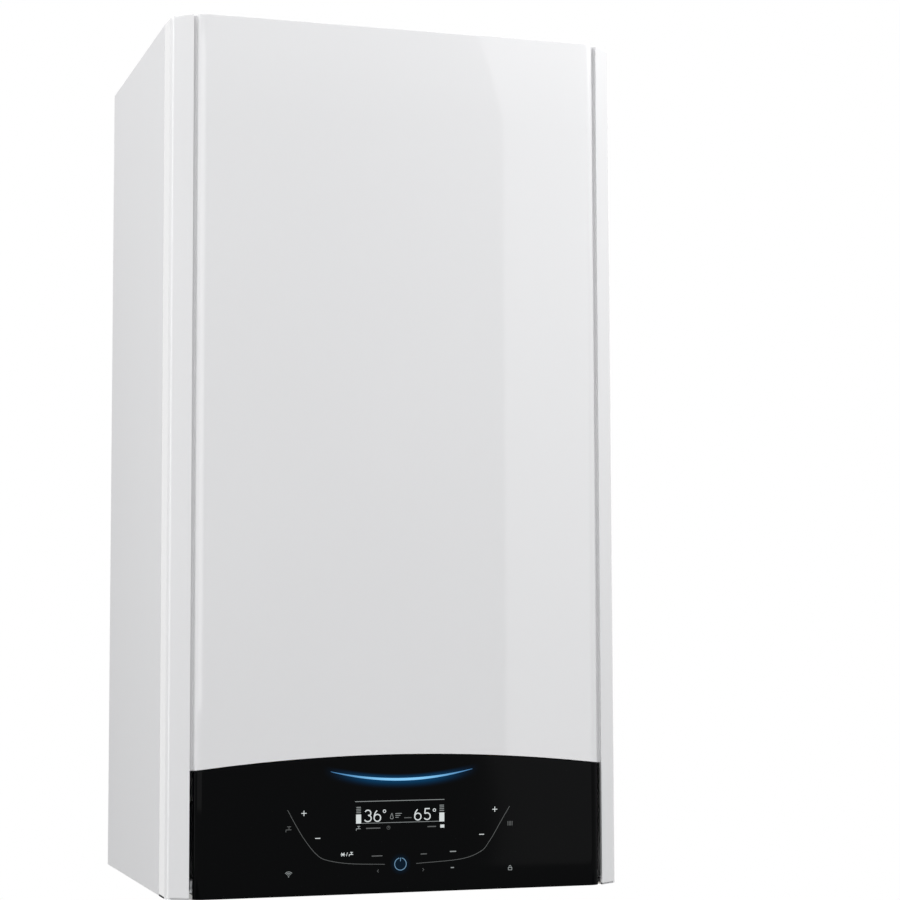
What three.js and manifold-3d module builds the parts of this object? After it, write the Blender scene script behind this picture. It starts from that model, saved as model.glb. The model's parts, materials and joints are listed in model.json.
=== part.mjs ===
// A wall-hung condensing combi boiler, built as an assembly of separate pieces.
// Millimetres, +X to the right seen from the front, +Y towards the wall, +Z up.
// The origin is the middle of the casing's wall face; the front cover faces -Y.
import * as THREE from "three";
import { mergeVertices } from "three/addons/utils/BufferGeometryUtils.js";
import Module from "manifold-3d";

const wasm = await Module();
wasm.setup();

// ---------------------------------------------------------------- casing
const CASE_WIDTH = 400;
const CASE_HEIGHT = 745;
const CASE_DEPTH = 319;
const COVER_DEPTH = 43.5; // from the flat of the front back to the side panels
const SHEET = 1.5; // panels, tray and cover
const GAP = 0.3; // between pieces that touch
const FLANGE = 14; // width of the folded edges
const SEAL_THICK = 4.2;
const SEAL_WIDTH = 9;

const HALF_W = CASE_WIDTH / 2;
const HALF_H = CASE_HEIGHT / 2;
const FRONT_Y = -CASE_DEPTH;
const JOINT_Y = FRONT_Y + COVER_DEPTH; // rear edge of the cover
const SKIN_X = HALF_W - SHEET; // inner face of a side panel
const PANEL_X = SKIN_X - GAP; // edge of the panels that fit between the side panels
const PANEL_FRONT_Y = JOINT_Y + GAP;
const INNER_BACK_Y = -SHEET - GAP; // front face of the back plate, with its gap
const FLANGE_Y = PANEL_FRONT_Y + SEAL_THICK + GAP; // front face of the sealing flange
const FOOT_FLANGE_REACH = 35; // bottom fold of a side panel, behind the joint
const TRAY_CLEARANCE = 2.2; // from those folds to the tray
const TRAY_FRONT_Y = PANEL_FRONT_Y + FOOT_FLANGE_REACH + TRAY_CLEARANCE;
const ROOF_Z = HALF_H - SHEET; // under face of the top panel
const FLOOR_Z = -HALF_H + SHEET; // upper face of the bottom tray

// ---------------------------------------------------------------- front cover
const PILLAR_WIDTH = 17.6; // side face to the groove
const PILLAR_SETBACK = 3; // pillar's inner edge behind the flat front
const PILLAR_RAKE = 12.7; // how far the canted face runs back
const PILLAR_BEND = 4.5; // reach of the bend into the side
const GROOVE_WIDTH = 3.2;
const GROOVE_DEPTH = 7;
const EDGE_WIDTH = 9.2; // rounded edge of the flat front
const EDGE_DROP = 5.5;
const FASCIA_SIDE_HEIGHT = 105.5; // bottom edge up to the arch, at the pillars
const ARCH_RISE = 11;
const COVER_SLOT_REACH = 18; // foot tab behind the cover's rear edge

const PILLAR_X = HALF_W - PILLAR_WIDTH; // inner edge of a pillar
const FIELD_X = PILLAR_X - GROOVE_WIDTH; // side edge of the flat front
const ARCH_SIDE_Z = -HALF_H + FASCIA_SIDE_HEIGHT;
const ARCH_TOP_Z = ARCH_SIDE_Z + ARCH_RISE;
const SEAL_FOOT_Z = ARCH_TOP_Z + 3; // the sealing flanges end above the fascia

// ---------------------------------------------------------------- fixings
const STUD_RADIUS = 2.5;
const STUD_LENGTH = 18; // in front of the sealing flange
const STUD_X = 110;
const STUD_HOLE = 2.9;
const SCREW_RADIUS = 2;
const SCREW_HEAD = 4.5;
const SCREW_INSET_X = 9; // screw axis inside the casing's side face
const SCREW_Y = JOINT_Y + 9.5;
const SCREW_LENGTH = 9;

// ---------------------------------------------------------------- control panel
const GLASS = 3; // fascia thickness
const GLASS_GAP = 0.8; // fascia to cover
const BOX_WALL = 2.5;
const BOX_HEIGHT = 74; // deep part of the control box
const BOX_PLATE = 2.5; // flat wall behind the fascia
const BOX_DEPTH = 61; // from the back of the fascia
const BOX_CLEARANCE = 27.9; // from the box's lid to the motor behind it
const HINGE_Y = FRONT_Y + 16;
const HINGE_Z = -HALF_H + 10.5;
const HINGE_PIN_RADIUS = 3;
const HINGE_EYE = 6; // outer radius of the bracket's eye
const HINGE_PLATE = 3;
const DISPLAY_WIDTH = 80;
const DISPLAY_HEIGHT = 29;
const DISPLAY_Z = -HALF_H + 63; // middle of the display
const DISPLAY_DEPTH = 9;
const GLOW_HALF = 62; // half length of the light guide under the arch
const GLOW_SAG = 7.5;
const GLOW_Z = -HALF_H + 102.5; // ends of the light guide
const GLOW_HEIGHT = 2;
const BOARD = 1.6;
const BOARD_STANDOFF = 18;
const LID = 2;

// ---------------------------------------------------------------- flue
const FLUE_Y = -155;
const FLUE_RADIUS = 30;
const FLUE_WALL = 1.5;
const AIR_RADIUS = 50; // outer radius of the air socket
const COLLAR_WALL = 2;
const COLLAR_FLANGE = 64;
const COLLAR_HEIGHT = 27;
const PLUG_RADIUS = 6;

// ---------------------------------------------------------------- heat exchanger
const DRUM_Z = 100;
const DRUM_RADIUS = 93;
const DRUM_WALL = 3;
const DRUM_BACK_Y = -82;
const DRUM_FRONT_Y = -200;
const DRUM_FLANGE = 98;
const DRUM_SIDES = 28; // flats of the drum's faceted wall
const COIL_TUBE = 6;
const COIL_TURNS = 5;
const COIL_PITCH = 16;
const COIL_STEPS = 11; // faces along one turn
const BURNER_RADIUS = 35;
const BURNER_LENGTH = 84;
const DOOR_THICK = 4;

// ---------------------------------------------------------------- fan
const FAN_X = 120;
const FAN_Z = 285;
const FAN_RADIUS = 62;
const FAN_WALL = 3;
const FAN_BACK_Y = -180;
const FAN_WIDTH = 45;
const FAN_OUTLET_X = 38; // outlet axis to the left of the fan's axis
const FAN_MOTOR_RADIUS = 38;
const FAN_MOTOR_LENGTH = 34;
const SHAFT_RADIUS = 4;
const DUCT_RADIUS = 20;

// ---------------------------------------------------------------- hydraulics
const PIPE_PITCH = 67;
const PIPE_Y = -130;
const TAIL_LENGTH = 19.5; // below the casing
const TAIL_RADIUS = 13;
const TAIL_BORE = 9;
const NUT_RADIUS = 18;
const NUT_HEIGHT = 13;
const BLOCK_RADIUS = 21;
const BLOCK_Z = -345;
const BLOCK_HEIGHT = 83;
const CROSS_Z = -300; // axis of the cross passages
const CROSS_RADIUS = 19;
const PLATE_HALF = 95;
const PLATE_DEPTH = 60;
const PLATE_HEIGHT = 72;
const PUMP_Z = -190;
const PUMP_RADIUS = 46;
const PUMP_WALL = 6;
const PUMP_FRONT_Y = -178;
const PUMP_BACK_Y = -122;
const PUMP_MOTOR_RADIUS = 42;
const PUMP_MOTOR_LENGTH = 78;
const VESSEL_WIDTH = 320;
const VESSEL_HEIGHT = 400;
const VESSEL_DEPTH = 64;
const VESSEL_WALL = 1.5;
const VESSEL_Z = 140; // middle of the vessel
const WATER_PIPE = 10;
const SMALL_PIPE = 5;
const GAS_PIPE = 7;
const DIVERTER_X = -106;
const DIVERTER_RADIUS = 16;
const DIVERTER_REACH = 38; // from the pipe line to the diverter's front face
const DIVERTER_BORE = 10;
const DIVERTER_TRAVEL = 8;
const TURBINE_RADIUS = 8.4;

// ================================================================ helpers

// A closed geometry as a solid whose faces point out.
function solid(geometry) {
  const loose = geometry.index ? geometry.toNonIndexed() : geometry;
  const bare = new THREE.BufferGeometry();
  bare.setAttribute("position", loose.getAttribute("position"));
  const merged = mergeVertices(bare, 1e-4);
  const index = merged.index.array;
  const kept = [];
  for (let i = 0; i < index.length; i += 3) {
    const [a, b, c] = [index[i], index[i + 1], index[i + 2]];
    if (a !== b && b !== c && c !== a) kept.push(a, b, c);
  }
  const vertProperties = merged.attributes.position.array;
  const build = (tris) =>
    new wasm.Manifold(
      new wasm.Mesh({ numProp: 3, vertProperties, triVerts: new Uint32Array(tris) }),
    );
  const made = build(kept);
  if (made.volume() >= 0) return made;
  const turned = [];
  for (let i = 0; i < kept.length; i += 3) turned.push(kept[i], kept[i + 2], kept[i + 1]);
  return build(turned);
}

// The union of several solids.
const join = (...pieces) => pieces.reduce((a, b) => a.add(b));

// A solid less several others.
const cut = (from, ...pieces) => pieces.reduce((a, b) => a.subtract(b), from);

function box(x0, x1, y0, y1, z0, z1) {
  const g = new THREE.BoxGeometry(x1 - x0, y1 - y0, z1 - z0);
  return solid(g.translate((x0 + x1) / 2, (y0 + y1) / 2, (z0 + z1) / 2));
}

// Round bars along each axis: the two other coordinates of the axis come first.
function rodX(y, z, x0, x1, r, sides = 14) {
  const g = new THREE.CylinderGeometry(r, r, x1 - x0, sides).rotateZ(-Math.PI / 2);
  return solid(g.translate((x0 + x1) / 2, y, z));
}

function rodY(x, z, y0, y1, r, sides = 14) {
  const g = new THREE.CylinderGeometry(r, r, y1 - y0, sides);
  return solid(g.translate(x, (y0 + y1) / 2, z));
}

function rodZ(x, y, z0, z1, r, sides = 14) {
  const g = new THREE.CylinderGeometry(r, r, z1 - z0, sides).rotateX(Math.PI / 2);
  return solid(g.translate(x, y, (z0 + z1) / 2));
}

// Turned solids: the profile is a list of [radius, height] along the axis.
const lathe = (profile, sides) =>
  new THREE.LatheGeometry(
    profile.map(([r, h]) => new THREE.Vector2(r, h)),
    sides,
  );

const turnedY = (x, z, profile, sides = 16) => solid(lathe(profile, sides).translate(x, 0, z));

const turnedZ = (x, y, profile, sides = 16) =>
  solid(lathe(profile, sides).rotateX(Math.PI / 2).translate(x, y, 0));

const outline = (points) => new THREE.Shape(points.map(([a, b]) => new THREE.Vector2(a, b)));

const slab = (points, depth) =>
  new THREE.ExtrudeGeometry(outline(points), { depth, bevelEnabled: false });

// Plates: an outline carried along one axis, from the first value to the second.
const plateZ = (points, z0, z1) => solid(slab(points, z1 - z0).translate(0, 0, z0));

const plateY = (points, y0, y1) =>
  solid(slab(points, y1 - y0).rotateX(Math.PI / 2).translate(0, y1, 0));

// A rectangle with its corners cut round, as an outline.
function roundedRect(a0, a1, b0, b1, r, steps = 4) {
  const points = [];
  const corners = [
    [a1 - r, b0 + r, -Math.PI / 2],
    [a1 - r, b1 - r, 0],
    [a0 + r, b1 - r, Math.PI / 2],
    [a0 + r, b0 + r, Math.PI],
  ];
  for (const [a, b, start] of corners)
    for (let i = 0; i <= steps; i++) {
      const t = start + (i / steps) * (Math.PI / 2);
      points.push([a + r * Math.cos(t), b + r * Math.sin(t)]);
    }
  return points;
}

// A route of straight runs joined by bends of one radius, sampled only where it turns.
class BentRoute extends THREE.Curve {
  constructor(corners, bend, steps = 3) {
    super();
    const at = corners.map((c) => new THREE.Vector3(...c));
    this.points = [at[0]];
    this.ways = [at[1].clone().sub(at[0]).normalize()];
    for (let i = 1; i < at.length - 1; i++) {
      const before = at[i].clone().sub(at[i - 1]).normalize();
      const after = at[i + 1].clone().sub(at[i]).normalize();
      const half = before.angleTo(after) / 2;
      const reach = bend * Math.tan(half);
      const from = at[i].clone().addScaledVector(before, -reach);
      const inward = after.clone().sub(before).normalize();
      const centre = at[i].clone().addScaledVector(inward, bend / Math.cos(half));
      const arm = from.clone().sub(centre);
      const axis = before.clone().cross(after).normalize();
      for (let k = 0; k <= steps; k++) {
        const turn = (2 * half * k) / steps;
        this.points.push(arm.clone().applyAxisAngle(axis, turn).add(centre));
        this.ways.push(before.clone().applyAxisAngle(axis, turn));
      }
    }
    this.points.push(at[at.length - 1]);
    this.ways.push(at[at.length - 1].clone().sub(at[at.length - 2]).normalize());
    this.last = this.points.length - 1;
  }
  getPointAt(u) {
    return this.points[Math.round(u * this.last)].clone();
  }
  getTangentAt(u) {
    return this.ways[Math.round(u * this.last)].clone();
  }
}

// A round tube along a route; it is filled, as its ends butt on other pieces.
function pipe(corners, bend, r, sides = 10) {
  const route = new BentRoute(corners, bend);
  const ring = new THREE.Shape().absarc(0, 0, r, 0, 2 * Math.PI);
  return solid(
    new THREE.ExtrudeGeometry(ring, {
      steps: route.last,
      curveSegments: sides / 2,
      extrudePath: route,
      bevelEnabled: false,
    }),
  );
}

const FINISHES = {
  white_enamel: [0xe9e9ec, 0.3, 0],
  galvanised: [0xb6babd, 0.45, 0.8],
  black_glass: [0x0a0b0d, 0.08, 0],
  black_plastic: [0x1c1d1f, 0.5, 0],
  grey_plastic: [0x8b9094, 0.55, 0],
  white_plastic: [0xdadbd8, 0.5, 0],
  blue_light: [0x5fb7ff, 0.3, 0],
  display: [0x0c1016, 0.2, 0],
  stainless: [0xc2c5c8, 0.3, 0.9],
  aluminium: [0xaeb2b6, 0.45, 0.8],
  brass: [0xb99855, 0.35, 0.9],
  copper: [0xb87350, 0.35, 0.9],
  zinc: [0xc9c9c4, 0.4, 0.8],
  rubber: [0x17181a, 0.8, 0],
  red_plastic: [0xb3261f, 0.5, 0],
  blue_plastic: [0x2a5fa8, 0.5, 0],
  red_paint: [0xa82a24, 0.5, 0],
  circuit: [0x1f5a38, 0.5, 0],
  ceramic: [0xe8e4da, 0.4, 0],
};

const boiler = new THREE.Group();
boiler.name = "combi_boiler";

// Adds one named piece to a body of the assembly.
function add(body, name, shape, finish) {
  const mesh = shape.getMesh();
  const geometry = new THREE.BufferGeometry();
  geometry.setAttribute("position", new THREE.BufferAttribute(mesh.vertProperties, 3));
  geometry.setIndex(new THREE.BufferAttribute(mesh.triVerts, 1));
  geometry.computeVertexNormals();
  const [color, roughness, metalness] = FINISHES[finish];
  const piece = new THREE.Mesh(
    geometry,
    new THREE.MeshStandardMaterial({ color, roughness, metalness }),
  );
  piece.name = name;
  body.add(piece);
}

function body(name) {
  const group = new THREE.Group();
  group.name = name;
  boiler.add(group);
  return group;
}

const chassis = body("chassis");
const coverBody = body("front_cover_body");
const panelBody = body("control_panel_body");

const SIDES = [
  ["left", -1],
  ["right", 1],
];

// A box given for the right side, mirrored for the left one.
const sideBox = (s, x0, x1, ...rest) => (s > 0 ? box(x0, x1, ...rest) : box(-x1, -x0, ...rest));

// ================================================================ casing sheet metal

const SLOT_WIDTH = 42; // hanging slots in the back plate
const SLOT_HEIGHT = 14;
const SLOT_X = 120;
const SLOT_Z = HALF_H - 22;
const TRAY_LIP = 18;
const FOOT_FLANGE_Z = FLOOR_Z + 0.5;
const DRAIN_X = -152;
const DRAIN_Y = TRAY_FRONT_Y + 33;
const DRAIN_RADIUS = 10;
const DRAIN_BORE = 7;
const DRAIN_REACH = 12; // outlet below the casing
const DRAIN_DEPTH = 60;
const GLAND_X = 165;
const GLAND_Y = TRAY_FRONT_Y + 33;
const GLAND_RADIUS = 10;
const GLAND_NECK = 7.5;
const GLAND_NUT = 11.5; // length below the tray
const CABLE_BORE = 4.5;
const TAP_X = 100;
const TAP_Y = -195;
const TAP_STEM = 4;
const TAP_REACH = 13; // how far its grip stands below the casing
const HOLE_GAP = 0.5; // round the tails where they pass the tray

function backPlate() {
  const plate = box(-PANEL_X, PANEL_X, -SHEET, 0, -HALF_H, HALF_H);
  const slots = SIDES.map(([, s]) =>
    plateY(
      roundedRect(
        s * SLOT_X - SLOT_WIDTH / 2,
        s * SLOT_X + SLOT_WIDTH / 2,
        SLOT_Z - SLOT_HEIGHT / 2,
        SLOT_Z + SLOT_HEIGHT / 2,
        4,
      ),
      -SHEET - 1,
      1,
    ),
  );
  return cut(plate, ...slots);
}

function sidePanel(s) {
  const skin = sideBox(s, SKIN_X, HALF_W, PANEL_FRONT_Y, 0, -HALF_H, HALF_H);
  const fold = sideBox(
    s,
    SKIN_X - FLANGE,
    SKIN_X + GAP,
    FLANGE_Y,
    FLANGE_Y + SHEET,
    SEAL_FOOT_Z,
    ROOF_Z - GAP,
  );
  const foot = sideBox(
    s,
    SKIN_X - FLANGE,
    SKIN_X + GAP,
    PANEL_FRONT_Y,
    PANEL_FRONT_Y + FOOT_FLANGE_REACH,
    FOOT_FLANGE_Z,
    FOOT_FLANGE_Z + SHEET,
  );
  const hole = rodZ(
    s * (HALF_W - SCREW_INSET_X),
    SCREW_Y,
    FOOT_FLANGE_Z - 1,
    FOOT_FLANGE_Z + SHEET + 1,
    SCREW_RADIUS + GAP,
    12,
  );
  return cut(join(skin, fold, foot), hole);
}

const TOP_FOLD_X = SKIN_X - FLANGE - GAP;
const STUD_Z = ROOF_Z - FLANGE / 2;

function topPanel() {
  const skin = box(-PANEL_X, PANEL_X, PANEL_FRONT_Y, INNER_BACK_Y, ROOF_Z, HALF_H);
  const fold = box(
    -TOP_FOLD_X,
    TOP_FOLD_X,
    FLANGE_Y,
    FLANGE_Y + SHEET,
    ROOF_Z - FLANGE,
    ROOF_Z + SHEET / 2,
  );
  const flueHole = rodZ(0, FLUE_Y, ROOF_Z - 1, HALF_H + 1, AIR_RADIUS - COLLAR_WALL, 28);
  const studHoles = SIDES.map(([, s]) =>
    rodY(s * STUD_X, STUD_Z, FLANGE_Y - 1, FLANGE_Y + SHEET + 1, STUD_RADIUS + GAP, 12),
  );
  return cut(join(skin, fold), flueHole, ...studHoles);
}

// Holes of the tray: [x, y, radius].
const TAIL_XS = [-2, -1, 0, 1, 2].map((i) => i * PIPE_PITCH);
const TRAY_HOLES = [
  ...TAIL_XS.map((x) => [x, PIPE_Y, TAIL_RADIUS + HOLE_GAP]),
  [DRAIN_X, DRAIN_Y, DRAIN_RADIUS + HOLE_GAP],
  [GLAND_X, GLAND_Y, GLAND_NECK + GAP],
  [TAP_X, TAP_Y, TAP_STEM + GAP],
];

function bottomTray() {
  const skin = box(-PANEL_X, PANEL_X, TRAY_FRONT_Y, INNER_BACK_Y, -HALF_H, FLOOR_Z);
  const lip = box(
    -PANEL_X,
    PANEL_X,
    TRAY_FRONT_Y,
    TRAY_FRONT_Y + SHEET,
    -HALF_H,
    FLOOR_Z + TRAY_LIP,
  );
  const holes = TRAY_HOLES.map(([x, y, r]) => rodZ(x, y, -HALF_H - 1, FLOOR_Z + 1, r, 14));
  return cut(join(skin, lip), ...holes);
}

// An arch of foam round the sealing flanges, open at the bottom.
function coverSeal() {
  const y0 = PANEL_FRONT_Y;
  const y1 = FLANGE_Y - GAP;
  const outer = box(
    -SKIN_X + GAP,
    SKIN_X - GAP,
    y0,
    y1,
    SEAL_FOOT_Z,
    ROOF_Z - GAP,
  );
  const inner = box(
    -SKIN_X + SEAL_WIDTH,
    SKIN_X - SEAL_WIDTH,
    y0 - 1,
    y1 + 1,
    SEAL_FOOT_Z - 1,
    ROOF_Z - FLANGE + GAP,
  );
  const holes = SIDES.map(([, s]) =>
    rodY(s * STUD_X, STUD_Z, y0 - 1, y1 + 1, STUD_RADIUS + GAP, 12),
  );
  return cut(outer, inner, ...holes);
}

// A headed peg that the cover hangs on.
function coverStud(s) {
  const tip = FLANGE_Y - STUD_LENGTH;
  const back = FLANGE_Y + SHEET + GAP;
  return turnedY(
    s * STUD_X,
    STUD_Z,
    [
      [0, tip],
      [STUD_RADIUS * 0.6, tip],
      [STUD_RADIUS, tip + 2],
      [STUD_RADIUS, back],
      [STUD_RADIUS * 1.8, back],
      [STUD_RADIUS * 1.8, back + 2],
      [0, back + 2],
    ],
    12,
  );
}

// A pan-head screw up through the cover's foot into the side panel's fold.
function coverScrew(s) {
  const seat = -HALF_H - GAP;
  return turnedZ(
    s * (HALF_W - SCREW_INSET_X),
    SCREW_Y,
    [
      [0, seat - 2.6],
      [SCREW_HEAD * 0.7, seat - 2.6],
      [SCREW_HEAD, seat - 1.2],
      [SCREW_HEAD, seat],
      [SCREW_RADIUS, seat],
      [SCREW_RADIUS, seat + SCREW_LENGTH - 1],
      [0, seat + SCREW_LENGTH],
    ],
    16,
  );
}

add(chassis, "back_plate", backPlate(), "galvanised");
add(chassis, "left_side_panel", sidePanel(-1), "white_enamel");
add(chassis, "right_side_panel", sidePanel(1), "white_enamel");
add(chassis, "top_panel", topPanel(), "white_enamel");
add(chassis, "bottom_tray", bottomTray(), "galvanised");
add(chassis, "cover_seal", coverSeal(), "rubber");
for (const [side, s] of SIDES) {
  add(chassis, `cover_stud_${side}`, coverStud(s), "zinc");
  add(chassis, `cover_screw_${side}`, coverScrew(s), "zinc");
}

// ================================================================ front cover

// The rounded edge of the flat front, from the flat to the side, for the right half.
function fieldEdge(steps = 3) {
  const points = [];
  for (let i = 0; i <= steps; i++) {
    const t = (i / steps) * (Math.PI / 2);
    points.push([
      FIELD_X - EDGE_WIDTH + EDGE_WIDTH * Math.sin(t),
      FRONT_Y + EDGE_DROP * (1 - Math.cos(t)),
    ]);
  }
  return points;
}

// The canted front of the right pillar: flat, then a tight bend into the side.
function pillarFace(steps = 4) {
  const start = new THREE.Vector2(PILLAR_X, FRONT_Y + PILLAR_SETBACK);
  const corner = new THREE.Vector2(HALF_W, start.y + PILLAR_RAKE);
  const back = start.clone().sub(corner).normalize().multiplyScalar(PILLAR_BEND);
  const curve = new THREE.QuadraticBezierCurve(
    corner.clone().add(back),
    corner,
    new THREE.Vector2(HALF_W, corner.y + PILLAR_BEND),
  );
  return [[start.x, start.y], ...curve.getPoints(steps).map((p) => [p.x, p.y])];
}

const mirrored = (points) => points.map(([x, y]) => [-x, y]).reverse();

// A strip of constant thickness on the left of a line of points.
function strip(line, thickness) {
  const inner = line.map((p, i) => {
    const a = line[Math.max(i - 1, 0)];
    const b = line[Math.min(i + 1, line.length - 1)];
    const normal = (from, to) => {
      const l = Math.hypot(to[0] - from[0], to[1] - from[1]);
      return [-(to[1] - from[1]) / l, (to[0] - from[0]) / l];
    };
    const n = i > 0 ? normal(a, p) : normal(p, b);
    const m = i < line.length - 1 ? normal(p, b) : n;
    const k = thickness / (1 + n[0] * m[0] + n[1] * m[1]);
    return [p[0] + k * (n[0] + m[0]), p[1] + k * (n[1] + m[1])];
  });
  return [...line, ...inner.reverse()];
}

const COVER_FOLD_X = HALF_W - FLANGE;
const ARCH_STEPS = 10;
const GLOW_STEPS = 8;

// Everything under the arch, between two half widths, as a solid to cut or keep.
function underArch(halfWidth, lift, y0, y1, z0) {
  const radius = (PILLAR_X * PILLAR_X + ARCH_RISE * ARCH_RISE) / (2 * ARCH_RISE);
  const arc = [];
  for (let i = 0; i <= ARCH_STEPS; i++) {
    const x = halfWidth * (1 - (2 * i) / ARCH_STEPS);
    arc.push([x, ARCH_TOP_Z + lift - radius + Math.sqrt(radius * radius - x * x)]);
  }
  return plateY([[-halfWidth, z0], [halfWidth, z0], ...arc], y0, y1);
}

function frontCover() {
  const grooveY = FRONT_Y + GROOVE_DEPTH;
  const right = [
    ...fieldEdge(),
    [FIELD_X, grooveY],
    [PILLAR_X, grooveY],
    ...pillarFace(),
    [HALF_W, JOINT_Y],
    [COVER_FOLD_X, JOINT_Y],
  ];
  const shell = plateZ(strip([...mirrored(right), ...right], SHEET), -HALF_H, HALF_H);
  const window = underArch(PILLAR_X, 0, FRONT_Y - 1, grooveY + SHEET + 1, -HALF_H - 1);
  const lowFold = box(
    -SKIN_X,
    SKIN_X,
    JOINT_Y - SHEET - 1,
    JOINT_Y + 1,
    -HALF_H - 1,
    SEAL_FOOT_Z,
  );
  const cap = plateZ(
    [...mirrored(right.slice(0, -1)), ...right.slice(0, -1)],
    ROOF_Z,
    HALF_H,
  );
  const hanger = box(
    -COVER_FOLD_X - 1,
    COVER_FOLD_X + 1,
    JOINT_Y - SHEET,
    JOINT_Y,
    ROOF_Z - FLANGE,
    ROOF_Z + SHEET / 2,
  );
  const holes = SIDES.map(([, s]) =>
    rodY(s * STUD_X, STUD_Z, JOINT_Y - SHEET - 1, JOINT_Y + 1, STUD_HOLE, 12),
  );
  const feet = SIDES.map(([, s]) => coverFoot(s));
  return cut(join(cut(shell, window, lowFold), cap, hanger, ...feet), ...holes);
}

// The foot of a pillar, with a slot that is open to the rear for the cover's screw.
function coverFoot(s) {
  const screwX = HALF_W - SCREW_INSET_X;
  const slot = SCREW_RADIUS + GAP;
  const rear = JOINT_Y + COVER_SLOT_REACH;
  const right = [
    ...pillarFace(),
    [HALF_W, JOINT_Y],
    [PANEL_X, JOINT_Y],
    [PANEL_X, rear],
    [screwX + slot, rear],
    [screwX + slot, SCREW_Y - slot],
    [screwX - slot, SCREW_Y - slot],
    [screwX - slot, rear],
    [COVER_FOLD_X - GAP, rear],
    [COVER_FOLD_X - GAP, JOINT_Y - SHEET],
    [PILLAR_X, JOINT_Y - COVER_DEPTH / 3],
  ];
  return plateZ(s > 0 ? right : mirrored(right), -HALF_H, FLOOR_Z);
}

add(coverBody, "front_cover", frontCover(), "white_enamel");

// ================================================================ control panel

const GLASS_BACK_Y = FRONT_Y + GLASS;
const BOX_FRONT_Y = FRONT_Y + EDGE_DROP + GLASS - 0.5;
const BOX_X = FIELD_X - 2.3;
const BOX_BOTTOM_Z = -HALF_H + 2.5;
const BOX_TOP_Z = BOX_BOTTOM_Z + BOX_HEIGHT;
const BOX_BACK_Y = GLASS_BACK_Y + BOX_DEPTH + BOX_PLATE;
const LID_Y = BOX_BACK_Y + GAP;
const DIVERTER_FRONT_Y = PIPE_Y - DIVERTER_REACH;
const MOTOR_FRONT_Y = LID_Y + LID + BOX_CLEARANCE;
const GLASS_X = FIELD_X;

// Arc of the light guide, sagging in the middle: a band of the given height.
function glowBand(grow, y0, y1) {
  const line = [];
  for (let i = 0; i <= GLOW_STEPS; i++) {
    const t = (2 * i) / GLOW_STEPS - 1;
    line.push([t * (GLOW_HALF + grow), GLOW_Z - GLOW_SAG * (1 - t * t)]);
  }
  const half = GLOW_HEIGHT / 2 + grow;
  const top = line.map(([x, z]) => [x, z + half]).reverse();
  return plateY([...line.map(([x, z]) => [x, z - half]), ...top], y0, y1);
}

// The black glass: the cover's front profile, cut to the arch.
function fasciaGlass() {
  const edge = fieldEdge();
  const band = strip([...mirrored(edge), ...edge], GLASS);
  const bar = plateZ(band, -HALF_H, ARCH_TOP_Z);
  const kept = underArch(GLASS_X + 1, -GLASS_GAP, FRONT_Y - 1, BOX_FRONT_Y + 1, -HALF_H);
  return cut(bar.intersect(kept), glowBand(GAP, FRONT_Y - 1, GLASS_BACK_Y + 1));
}

const PLATE_LEDGE = 3; // the fascia stands above the box's front wall
const STANDOFF_XS = [-140, -50, 50, 140];
const STANDOFF_RADIUS = 4;
const BOARD_HEIGHT = 58;
const BOARD_FRONT_Y = BOX_FRONT_Y + BOX_PLATE + BOARD_STANDOFF;
const BOARD_Z = (BOX_BOTTOM_Z + BOX_TOP_Z) / 2;

function controlBox() {
  const arched = (x, y0, y1) =>
    underArch(x, -GLASS_GAP - PLATE_LEDGE, y0, y1, BOX_BOTTOM_Z);
  const front = arched(BOX_X, BOX_FRONT_Y, BOX_FRONT_Y + BOX_PLATE);
  const rest = arched(FIELD_X - EDGE_WIDTH - 1, GLASS_BACK_Y + GAP, BOX_FRONT_Y + 1);
  const deep = box(-BOX_X, BOX_X, BOX_FRONT_Y, BOX_BACK_Y, BOX_BOTTOM_Z, BOX_TOP_Z);
  const hollow = box(
    -BOX_X + BOX_WALL,
    BOX_X - BOX_WALL,
    BOX_FRONT_Y + BOX_PLATE,
    BOX_BACK_Y + 1,
    BOX_BOTTOM_Z + BOX_WALL,
    BOX_TOP_Z - BOX_WALL,
  );
  const window = box(
    -DISPLAY_WIDTH / 2 - GAP,
    DISPLAY_WIDTH / 2 + GAP,
    GLASS_BACK_Y - 1,
    GLASS_BACK_Y + DISPLAY_DEPTH + 2 * GAP,
    DISPLAY_Z - DISPLAY_HEIGHT / 2 - GAP,
    DISPLAY_Z + DISPLAY_HEIGHT / 2 + GAP,
  );
  const standoffs = STANDOFF_XS.map((x) =>
    rodY(x, BOARD_Z, BOX_FRONT_Y + 1, BOARD_FRONT_Y - GAP, STANDOFF_RADIUS, 12),
  );
  const bosses = SIDES.map(([, s]) => sideHinge(s, HINGE_EYE, BOX_X - 7, BOX_X));
  const bores = SIDES.map(([, s]) =>
    sideHinge(s, HINGE_PIN_RADIUS + GAP, BOX_X - 6, BOX_X + 1),
  );
  const slotForGuide = glowBand(GAP, GLASS_BACK_Y - 1, BOX_FRONT_Y + BOX_PLATE + 1);
  const shell = join(cut(join(front, rest, deep), hollow), ...standoffs, ...bosses);
  return cut(shell, window, slotForGuide, ...bores);
}

// A round bar on the hinge axis, given for the right side.
function sideHinge(s, r, x0, x1) {
  return s > 0 ? rodX(HINGE_Y, HINGE_Z, x0, x1, r) : rodX(HINGE_Y, HINGE_Z, -x1, -x0, r);
}

function lightGuide() {
  return glowBand(0, FRONT_Y + 0.2, BOX_FRONT_Y + BOX_PLATE);
}

function displayModule() {
  const face = box(
    -DISPLAY_WIDTH / 2,
    DISPLAY_WIDTH / 2,
    GLASS_BACK_Y + GAP,
    GLASS_BACK_Y + GAP + DISPLAY_DEPTH,
    DISPLAY_Z - DISPLAY_HEIGHT / 2,
    DISPLAY_Z + DISPLAY_HEIGHT / 2,
  );
  return face;
}

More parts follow.
